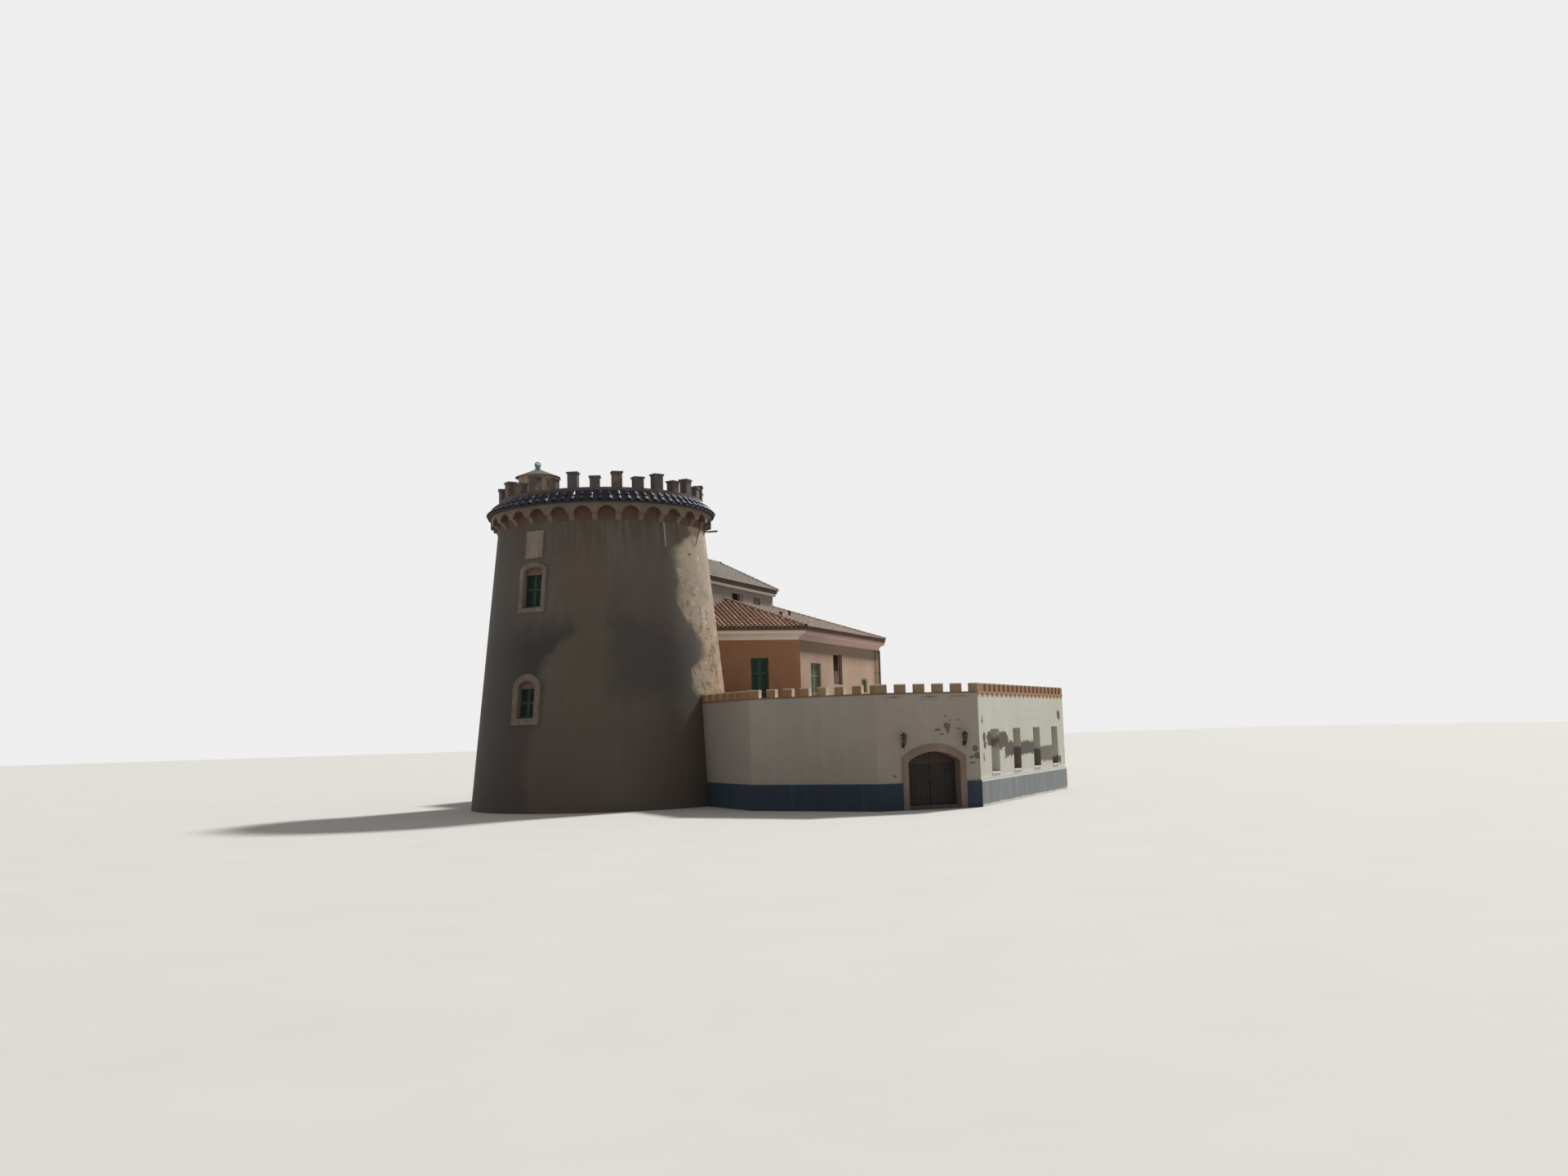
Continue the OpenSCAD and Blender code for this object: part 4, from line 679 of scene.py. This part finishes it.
# A hipped roof: one slope rises from each eave line, and a point belongs to the lowest of them
class Roof:
    def __init__(self, corners, slopes, eaveZ):
        self.corners = [Vector(c) for c in corners]
        self.slopes = slopes
        self.eaveZ = eaveZ

    def depth(self, i, p):
        a, b = self.corners[i], self.corners[(i + 1) % len(self.corners)]
        d = (b - a).normalized()
        return Vector((-d.y, d.x)).dot(p - a)

    def height(self, p):
        return self.eaveZ + min(s * self.depth(i, p) for i, s in enumerate(self.slopes))

    def slopePlaces(self, i, skip=lambda p: False):
        a, b = self.corners[i], self.corners[(i + 1) % len(self.corners)]
        d = (b - a).normalized()
        inward = Vector((-d.y, d.x))
        slope = self.slopes[i]
        lean = math.atan(slope)
        yAxis = Vector((inward.x * math.cos(lean), inward.y * math.cos(lean), math.sin(lean)))
        turn = axes(Vector((d.x, d.y, 0)), yAxis)
        rowStep = roofTile["row"] * math.cos(lean)
        jog = roofTile["jog"]
        places = []
        columns = int((b - a).length / roofTile["pitch"])
        pitch = (b - a).length / columns
        for column in range(columns):
            columnTone = dice.random()
            for row in range(60):
                t = row * rowStep - roofTile["overhang"]
                low = a + d * ((column + 0.5) * pitch) + inward * t
                middle = low + inward * 0.15
                if self.eaveZ + slope * self.depth(i, middle) > self.height(middle) + 0.02 or skip(middle):
                    continue
                skew = Matrix.Rotation(dice.uniform(-0.02, 0.02), 4, "Z")
                x = low.x + dice.uniform(-jog, jog)
                at = moved(x, low.y, self.eaveZ + slope * t + dice.uniform(0, jog))
                places.append((houseTurn @ at @ turn @ skew, 0.6 * columnTone + 0.4 * dice.random()))
        return places

    # Places for the tiles that cover a ridge or hip from one plan point up to another
    def linePlaces(self, start, end, skip=lambda p: False):
        start, end = Vector(start), Vector(end)
        foot = Vector((start.x, start.y, self.height(start)))
        head = Vector((end.x, end.y, self.height(end)))
        lift = Vector((0, 0, ridgeTile["lift"]))
        yAxis = (head - foot).normalized()
        turn = axes(yAxis.cross(Vector((0, 0, 1))).normalized(), yAxis)
        places = []
        for k in range(int((head - foot).length / ridgeTile["step"]) + 1):
            at = foot + yAxis * (k * ridgeTile["step"] - ridgeTile["overhang"])
            if not skip(Vector((at.x, at.y))):
                places.append((houseTurn @ Matrix.Translation(at + lift) @ turn, dice.random()))
        return places


def besideTower(p):
    return p.length < towerRadius(9.6) + roofTile["clear"]


def underClerestory(p):
    clear = roofTile["clear"]
    return (clerestory["nearU"] - clear < p.x < clerestory["farU"] + clear and
            abs(p.y) < clerestory["halfWidth"] + clear) or besideTower(p)


houseRoof = Roof(house["eaves"], [house["slope"]] * 6, house["eaveZ"])
ridgeSlopes = [clerestory["sideSlope"], clerestory["endSlope"]] * 2
ridgeRoof = Roof(clerestory["eaves"], ridgeSlopes, clerestory["eaveZ"])
barrel = coverTile(roofTile["wide"], roofTile["narrow"], roofTile["length"], roofTile["lift"])
panTile(barrel, roofTile["panAt"], roofTile["panHalf"], roofTile["length"])
for i, (name, finish) in enumerate((
        ("end_tiles_near", redTile), ("side_tiles_near", dustyTile), ("end_tiles_far", redTile),
        ("end_tiles_far_left", redTile), ("side_tiles_left", dustyTile), ("end_tiles_near_left", redTile))):
    stamp(name, barrel, houseRoof.slopePlaces(i, underClerestory), finish)
ridgePlaces = [place for i in range(4) for place in ridgeRoof.slopePlaces(i)]
stamp("clerestory_tiles", barrel, ridgePlaces, greyTile)

hipTile = coverTile(ridgeTile["wide"], ridgeTile["narrow"], ridgeTile["length"], 0.02, 8, 0.05)
hips = []
for corner, end in ((0, 0), (1, 0), (5, 0), (2, 1), (3, 1), (4, 1)):
    hips += houseRoof.linePlaces(house["eaves"][corner], house["ridge"][end], underClerestory)
stamp("hip_tiles", hipTile, hips, dustyTile)
hips = []
for corner, end in ((0, 0), (3, 0), (1, 1), (2, 1)):
    hips += ridgeRoof.linePlaces(clerestory["eaves"][corner], clerestory["ridge"][end])
hips += ridgeRoof.linePlaces(*clerestory["ridge"])
stamp("clerestory_hip_tiles", hipTile, hips, greyTile)
print("roof tiles laid")

# Two courses of glazed tiles round the tower's head
skirt = {"columns": 80, "footR": 5.835, "footZ": 14.785, "lean": 46.0, "step": 0.335, "sunk": 0.055,
         "squeeze": 0.8, "narrowing": 0.06, "wide": 0.118, "narrow": 0.098, "length": 0.43, "lift": 0.03,
         "panAt": 0.228, "panHalf": 0.12}
glazed = coverTile(skirt["wide"], skirt["narrow"], skirt["length"], skirt["lift"], 8)
panTile(glazed, skirt["panAt"], skirt["panHalf"], skirt["length"])
lean = math.radians(skirt["lean"])
places = []
for k in range(skirt["columns"]):
    out = heading(360 * k / skirt["columns"])
    yAxis = -out * math.cos(lean) + Vector((0, 0, math.sin(lean)))
    zAxis = out * math.sin(lean) + Vector((0, 0, math.cos(lean)))
    turn = axes(yAxis.cross(zAxis), yAxis)
    for course in range(2):
        shrink = Matrix.Diagonal((1.0 - skirt["narrowing"] * course, skirt["squeeze"], 1, 1))
        at = out * skirt["footR"] + Vector((0, 0, skirt["footZ"]))
        at = at + yAxis * (course * skirt["step"]) - zAxis * skirt["sunk"]
        skew = Matrix.Rotation(dice.uniform(-0.03, 0.03), 4, "Z")
        places.append((Matrix.Translation(at) @ turn @ skew @ shrink, dice.random()))
stamp("skirt_tiles", glazed, places, glazedTile)

# A collar under the turret's glazed ball, and a ring round it
finial = {"turn": 164, "out": 3.335, "ringTurn": -150, "ringZ": 17.70, "ringR": 0.15, "wire": 0.03,
          "collar": [(0.03, 17.49), (0.16, 17.50), (0.16, 17.53), (0.06, 17.56), (0.05, 17.60)]}
pile = Pile()
at = turned(finial["turn"]) @ moved(finial["out"], 0, 0)
pile.lathe(finial["collar"], 24, at)
wire = [(finial["ringR"] + finial["wire"] * c, finial["wire"] * s) for c, s in circle(8)]
rings = [[(r * c, y, finial["ringZ"] + r * s) for r, y in wire] for c, s in circle(24)]
pile.hoop(rings, at @ turned(finial["ringTurn"]))
pile.piece("finial_ring", tealGlaze, smooth=True)

# Louvred shutters in the tower's windows, below the arch. A window is its sill, width and height, the rise of
# its arch and how far the board across its head comes down
shutters = {"stile": 0.075, "slat": 0.06, "depth": 0.26, "thick": 0.045, "gap": 0.01, "tilt": -38,
            "windows": ((9.73, 1.13, 2.0, 0.17, 0.2), (4.43, 1.01, 1.81, 0.3, 0.08))}


def arch(width, height, rise, steps=12):
    r = (width * width / 4 + rise * rise) / (2 * rise)
    return [(x, height - r + math.sqrt(max(r * r - x * x, 0))) for x in
            (width / 2 - width * k / steps for k in range(steps + 1))]


def louvres(pile, place, width, height, rise):
    gap, stile, back = shutters["gap"], shutters["stile"], shutters["depth"]
    front, top = back - shutters["thick"], height - rise
    middle = top * 0.5
    for a, b in ((-width / 2 + gap, -0.004), (0.004, width / 2 - gap)):
        pile.block((a, front, gap), (a + stile, back, top), place)
        pile.block((b - stile, front, gap), (b, back, top), place)
        for z0, z1 in ((gap, 0.13), (middle - 0.05, middle + 0.05), (top - 0.09, top)):
            pile.block((a + stile, front, z0), (b - stile, back, z1), place)
        z = 0.16
        while z < top - 0.12:
            if abs(z - middle) > 0.08:
                slat = place @ moved(0, back - 0.022, z) @ turned(shutters["tilt"], "X")
                pile.block((a + stile, -0.026, -0.004), (b - stile, 0.026, 0.004), slat)
            z += shutters["slat"]
    head = [(-width / 2 + gap, top), (width / 2 - gap, top)] + arch(width - 2 * gap, height - gap, rise)
    pile.slab(head, front, back, place)


pile, lintels = Pile(), Pile()
for sill, width, height, rise, board in shutters["windows"]:
    louvres(pile, onTower(sill), width, height, rise)
    foot = height - rise - board
    outline = [(-width / 2 + 0.004, foot), (width / 2 - 0.004, foot)]
    outline += arch(width - 0.008, height - 0.004, rise)
    lintels.slab(outline, shutters["depth"] - 0.12, shutters["depth"] - 0.05, onTower(sill))
pile.piece("window_louvres", shutterPaint)
lintels.piece("window_lintels", lintelWood)

# A bare plaque with a raised edge
plaque = {"foot": 12.16, "half": 0.5, "height": 1.35, "edge": 0.07, "front": -0.068, "back": -0.05}
half, edge, top = plaque["half"], plaque["edge"], plaque["height"]
pile = Pile()
for x0, z0, x1, z1 in ((-half, 0, edge - half, top), (half - edge, 0, half, top),
                       (edge - half, 0, half - edge, edge), (edge - half, top - edge, half - edge, top)):
    pile.block((x0, plaque["front"], z0), (x1, plaque["back"], z1), onTower(plaque["foot"]))
pile.piece("plaque_edge", plaqueStone, bevel=0.006)

# Iron left over from an old gutter: a hanging rod and a broken stub. An end is its turn, reach and height
gutterIrons = (((-36.6, 5.6, 13.95), (-39.8, 5.45, 12.92), 0.022),
               ((-10, 5.45, 14.0), (-10, 6.0, 14.03), 0.045))
pile = Pile()
for *ends, radius in gutterIrons:
    pile.rod(*(heading(turn) * reach + Vector((0, 0, z)) for turn, reach, z in ends), radius)
pile.piece("gutter_irons", blackIron)
print("tower dressed")

# The gate's leaves: boards, rails with studs, straps and knuckles, and a pull ring at (across, up, radius).
# One hinge side, mirrored for the other
leaf = {"hingeX": -1.263, "hingeY": -14.305, "outer": -1.285, "inner": -0.008, "front": -14.402,
        "back": -14.322, "foot": 0.158, "top": 2.552, "boards": 9, "rails": ((0.218, 0.398), (1.7, 1.88)),
        "railFrom": -1.168, "railTo": -0.035, "proud": 0.024, "studs": 7, "firstStud": -1.1,
        "studStep": 0.165, "hinges": (0.6003, 2.1003), "strap": 0.89, "knuckle": 0.025, "bore": 0.0136,
        "tall": 0.09, "pull": (-0.09, 1.17, 0.05)}


def gateLeaf(name, side):
    place = moved(wing["gateX"], 0, 0) @ Matrix.Diagonal((-side, 1, 1, 1))
    front, back, hingeX = leaf["front"], leaf["back"], leaf["hingeX"]
    boards, irons = Pile(), Pile()
    step = (leaf["inner"] - leaf["outer"]) / leaf["boards"]
    for k in range(leaf["boards"]):
        x = leaf["outer"] + k * step
        boards.block((x + 0.003, front + dice.uniform(0, 0.004), leaf["foot"]),
                     (x + step - 0.003, back, leaf["top"]), place)
    for foot, top in leaf["rails"]:
        railFace = front - leaf["proud"]
        boards.block((leaf["railFrom"], railFace, foot), (leaf["railTo"], front + 0.004, top), place)
        for k in range(leaf["studs"]):
            for z in (foot + 0.045, top - 0.045):
                stud = place @ moved(leaf["firstStud"] + k * leaf["studStep"], railFace, z) @ turned(90, "X")
                irons.lathe([(0.017, -0.002), (0.017, 0.001), (0.010, 0.006), (0.003, 0.008)], 8, stud)
    boards.piece(name + "_boards", gateTimber, name, bevel=0.005)
    for z in leaf["hinges"]:
        irons.block((hingeX, back, z + 0.015), (hingeX + leaf["strap"], back + 0.008, z + 0.075), place)
        outer, bore, top = leaf["knuckle"], leaf["bore"], z + leaf["tall"]
        profile = ((outer, z), (outer, top), (bore, top), (bore, z))
        rings = [[(hingeX + r * c, leaf["hingeY"] + r * s, h) for r, h in profile] for c, s in circle(20)]
        irons.hoop(rings, place)
    irons.block((-0.13, front - 0.006, 1.12), (-0.05, front + 0.004, 1.30), place)
    x, z, r = leaf["pull"]
    pull = [(x + r * s, front - 0.016, z + r * c) for c, s in circle(16)]
    for start, end in zip(pull, pull[1:] + pull[:1]):
        irons.rod(start, end, 0.006, 6, place)
    return irons.piece(name + "_irons", blackIron, name)


for name, side in (("gate_leaf_left", -1), ("gate_leaf_right", 1)):
    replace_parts(gateLeaf(name, side), name)

# Lanterns on each side of the gate; a turned part is its profile and its number of sides
lantern = {
    "off": 1.41, "y": -15.16, "footZ": 2.77, "topZ": 3.19, "footR": 0.06, "topR": 0.12, "paneOut": 0.95,
    "paneIn": 0.9215, "turned": (
        ([(0.128, 3.185), (0.135, 3.195), (0.1, 3.225), (0.05, 3.255), (0.014, 3.27)], 6),
        ([(0.008, 3.262), (0.026, 3.275), (0.028, 3.29), (0.018, 3.31), (0.004, 3.318)], 12),
        ([(0.055, 2.765), (0.062, 2.772), (0.055, 2.779)], 6),
        ([(0.004, 2.49), (0.01, 2.6), (0.014, 2.715), (0.026, 2.735), (0.028, 2.751), (0.02, 2.77)], 12),
        ([(0.018, 2.78), (0.022, 2.86), (0.012, 2.95), (0.004, 2.97)], 8))}
glass = Finish("lanternGlass", "#5a6262", 0.1, alpha=0.45)
glass.clouds(25.0, 0.55, 0.1, "#363d3c", "#6a6f6c")
metal, panes = Pile(), Pile()
for side in (-1, 1):
    at = moved(wing["gateX"] + side * lantern["off"], lantern["y"], 0)
    corners = [(heading(60 * k) * lantern["footR"] + Vector((0, 0, lantern["footZ"])),
                heading(60 * k) * lantern["topR"] + Vector((0, 0, lantern["topZ"]))) for k in range(6)]
    for (a, b), (c, d) in zip(corners, corners[1:] + corners[:1]):
        metal.rod(a, b, 0.008, 6, at)
        metal.rod(a, c, 0.008, 6, at)
        metal.rod(b, d, 0.009, 6, at)
        pane = [(p.x * share, p.y * share, p.z) for share in (lantern["paneOut"], lantern["paneIn"])
                for p in (a, c, d, b)]
        panes.add(pane, [(0, 1, 2, 3), (7, 6, 5, 4), (0, 4, 5, 1), (1, 5, 6, 2), (2, 6, 7, 3),
                         (3, 7, 4, 0)], at)
    for profile, sides in lantern["turned"]:
        metal.lathe(profile, sides, at)
    metal.block((-0.01, 0, 2.741), (0.01, 0.19, 2.761), at)
    metal.block((-0.045, 0.17, 2.651), (0.045, 0.19, 2.851), at)
    curl = [(0, 0.175 - 0.15 * s, 2.66 + 0.04 * (1 - c)) for c, s in circle(24)[:7]]
    for p, q in zip(curl, curl[1:]):
        metal.rod(p, q, 0.006, 6, at)
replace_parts(metal.piece("lantern_iron", blackIron), "wall_lanterns")
panes.piece("lantern_panes", glass)
print("gate and lanterns made")

# Boarded windows of the sunlit wall: upright boards and two battens
slots = {"first": 2.33, "pitch": 3.53, "count": 4, "width": 1.25, "foot": 1.42, "top": 3.33, "face": 0.5,
         "boards": 7}
step, half, face = slots["width"] / slots["boards"], slots["width"] / 2, slots["face"]
pile = Pile()
for k in range(slots["count"]):
    place = slottedPlace @ moved(slots["first"] + k * slots["pitch"], 0, 0)
    for j in range(slots["boards"]):
        x = j * step - half
        pile.block((x + 0.004, face - 0.018 + dice.uniform(0, 0.006), slots["foot"]),
                   (x + step - 0.004, face, slots["top"] - dice.uniform(0, 0.01)), place)
    for z in (slots["foot"] + 0.25, slots["top"] - 0.35):
        pile.block((-half, face - 0.04, z), (half, face - 0.015, z + 0.10), place)
pile.piece("slot_planks", slotTimber, bevel=0.003)

joinery = {"face": 0.15, "proud": 0.024, "stile": 0.09, "slat": 0.05, "tilt": -35}


# Stiles, rails, and slats or raised panels between them; rows are the heights of the middle rails
def panelled(pile, place, width, foot, top, rows, louvred=False, leaves=2):
    y, proud = joinery["face"], joinery["proud"]
    stile = min(joinery["stile"], width / leaves / 5)
    for k in range(leaves):
        a = -width / 2 + k * width / leaves + 0.003
        b = a + width / leaves - 0.006
        pile.block((a, y - proud, foot), (a + stile, y, top), place)
        pile.block((b - stile, y - proud, foot), (b, y, top), place)
        edges = [foot] + rows + [top - stile]
        for z in edges:
            pile.block((a + stile, y - proud, z), (b - stile, y, z + stile), place)
        for z0, z1 in zip(edges, edges[1:]):
            if not louvred:
                pile.block((a + stile + 0.04, y - proud * 0.6, z0 + stile + 0.04),
                           (b - stile - 0.04, y, z1 - 0.04), place)
                continue
            z = z0 + stile + 0.03
            while z < z1 - 0.02:
                slat = place @ moved(0, y - proud / 2, z) @ turned(joinery["tilt"], "X")
                pile.block((a + stile, -0.018, -0.003), (b - stile, 0.018, 0.003), slat)
                z += joinery["slat"]


# An opening is its pile, its wall and its place along it, its width, foot, top and middle rails, and whether
# it has slats
greenDoors, sageDoors, brownWindows, greyBoards, panes, smallFrames = (Pile() for k in range(6))
wideWindow, smallWindow = 6.21, 11.12
openings = ((greenDoors, onEnd, 2.315, 0.99, 4.86, 7.475, [5.6, 6.6], True),
            (sageDoors, onSide, 2.43, 1.59, 4.86, 7.25, [5.5, 6.5], True),
            (sageDoors, onSide, smallWindow, 1.07, 5.72, 6.58, [], True),
            (brownWindows, onSide, wideWindow, 1.58, 6.11, 7.88, [6.7], False))
lights = {"inset": house["halfWidth"] - clerestory["halfWidth"] + 0.12 - joinery["face"],
          "opened": 12.37, "boarded": 15.72, "foot": 11.15, "top": 11.74}
foot, top = lights["foot"], lights["top"]
for flip in (1, -1):
    for pile, wall, at, *size in openings:
        panelled(pile, wall(at, flip), *size)
    for x0, z0, x1, z1 in ((-0.53, 5.73, -0.44, 6.57), (0.44, 5.73, 0.53, 6.57), (-0.44, 6.49, 0.44, 6.57)):
        smallFrames.block((x0, 0.03, z0), (x1, 0.12, z1), onSide(smallWindow, flip))
    panes.block((-0.74, 0.115, 6.93), (0.36, 0.15, 7.83), onSide(wideWindow, flip))
    # Of the clerestory's two windows one stands open, its leaf against the wall, and one is half boarded
    opened, boarded = (onSide(lights[which] - house["frontU"], flip) @ moved(0, lights["inset"], 0)
                       for which in ("opened", "boarded"))
    panes.block((-0.48, 0.11, foot + 0.01), (0.48, 0.15, top - 0.01), opened)
    brownWindows.block((0.52, 0.008, foot), (1.08, 0.03, top), opened)
    panelled(brownWindows, opened @ moved(0.80, -0.142, 0), 0.56, foot, top, [], leaves=1)
    panes.block((-0.48, 0.11, foot + 0.01), (-0.16, 0.15, top - 0.01), boarded)
    panelled(greyBoards, boarded @ moved(0.17, 0, 0), 0.66, foot, top, [], leaves=1)
greenDoors.piece("end_door_leaves", greenPaint)
sageDoors.piece("side_door_leaves", sagePaint)
brownWindows.piece("house_window_frames", brownPaint)
smallFrames.piece("small_window_frames", paleFrame)
greyBoards.piece("clerestory_boards", greyBoard)
panes.piece("painted_shade_panes", shadePane, bevel=0.004)

# Low walls that carry the clerestory down to the house's end slopes
near, far, half = clerestory["nearU"], clerestory["farU"], clerestory["halfWidth"]
apron = {"foot": 9.95, "top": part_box("clerestory_walls")[0][2], "thick": 0.3, "endU": 9.3}
inner, side = near + apron["thick"], half - apron["thick"]
pile = Pile()
for x0, y0, x1, y1 in ((near, -half, inner, half), (inner, -half, apron["endU"], -side),
                       (inner, side, apron["endU"], half)):
    pile.block((x0, y0, apron["foot"]), (x1, y1, apron["top"]), houseTurn)
pile.piece("clerestory_apron", lilacRender)

# Pale band under the clerestory's eave
band = {"out": 0.16, "foot": 12.02, "top": 12.19}
out = band["out"]
pile = Pile()
for x0, y0, x1, y1 in ((near - out, -half - out, far + out, -half), (near - out, half, far + out, half + out),
                       (near - out, -half, near, half), (far, -half, far + out, half)):
    pile.block((x0, y0, band["foot"]), (x1, y1, band["top"]), houseTurn)
pile.piece("clerestory_band", sillPaint, bevel=0.02)

# Small vents on the house's roof
pile = Pile()
for u, v in ((9.66, -6.05), (14.01, -4.87)):
    place = houseTurn @ moved(u, v, houseRoof.height(Vector((u, v))) + 0.05)
    pile.lathe([(0.07, -0.1), (0.07, 0.26), (0.11, 0.27), (0.11, 0.31), (0.02, 0.37)], 12, place)
pile.piece("roof_vents", pipeMetal)
print("house dressed")

# Camera as the photograph was taken: its turn, tilt and roll worked out from the building's own lines
shot = {"at": (-10.143, -69.414, 3.6), "ahead": (0.2756, 0.9613, 0), "tilt": 5.965, "roll": 1.64,
        "lens": 30.9375, "sensor": 36.0}
tilt, roll = math.radians(shot["tilt"]), math.radians(shot["roll"])
ahead = Vector(shot["ahead"]).normalized()
side = Vector((ahead.y, -ahead.x, 0))
forward = ahead * math.cos(tilt) + Vector((0, 0, math.sin(tilt)))
lift = side.cross(forward)
right = side * math.cos(roll) - lift * math.sin(roll)
up = side * math.sin(roll) + lift * math.cos(roll)
camera = bpy.data.objects.new("camera", bpy.data.cameras.new("camera"))
camera.matrix_world = Matrix.Translation(shot["at"]) @ Matrix((right, up, -forward)).transposed().to_4x4()
camera.data.lens = shot["lens"]
camera.data.sensor_width = shot["sensor"]
camera.data.sensor_fit = "HORIZONTAL"
camera.data.clip_end = 1000
scene.collection.objects.link(camera)
scene.camera = camera

# One soft sun from behind on the right, and an even sky that looks brighter than the light it gives
daylight = {"heading": 32.0, "height": 48.0, "energy": 4.6, "spread": 6, "sky": 0.34, "skySeen": 0.86}
sun = bpy.data.objects.new("sun", bpy.data.lights.new("sun", "SUN"))
sun.data.energy = daylight["energy"]
sun.data.angle = math.radians(daylight["spread"])
height = math.radians(daylight["height"])
sunward = heading(daylight["heading"]) * math.cos(height) + Vector((0, 0, math.sin(height)))
sun.rotation_euler = sunward.to_track_quat("Z", "Y").to_euler()
scene.collection.objects.link(sun)

scene.world = bpy.data.worlds.new("sky")
scene.world.use_nodes = True
sky = Nodes(scene.world.node_tree)
seen = [sky.node("ShaderNodeLightPath", {}, {}, ray)
        for ray in ("Is Camera Ray", "Is Glossy Ray", "Is Transmission Ray")]
inView = seen[0].atLeast(seen[1]).atLeast(seen[2])
strength = inView * (daylight["skySeen"] - daylight["sky"]) + daylight["sky"]
backdrop = sky.tree.nodes["Background"]
backdrop.inputs["Color"].default_value = (1, 1, 1, 1)
sky.tree.links.new(strength.socket, backdrop.inputs["Strength"])

# A wide pale floor just under the building
floorMesh = bpy.data.meshes.new("ground")
floorCorners = [(x, y, -0.004) for x, y in ((-250, -250), (260, -250), (260, 300), (-250, 300))]
floorMesh.from_pydata(floorCorners, [], [(0, 1, 2, 3)])
groundFinish = Finish("groundFinish", "#b9b6b0", 0.95)
speckle = groundFinish.noise(0.3)
groundFinish.set("Base Color", groundFinish.mix(speckle, "#b5b2ac", "#bdbab4"))
floorObject = shown("ground", floorMesh, groundFinish)
print("camera, lights and floor set")
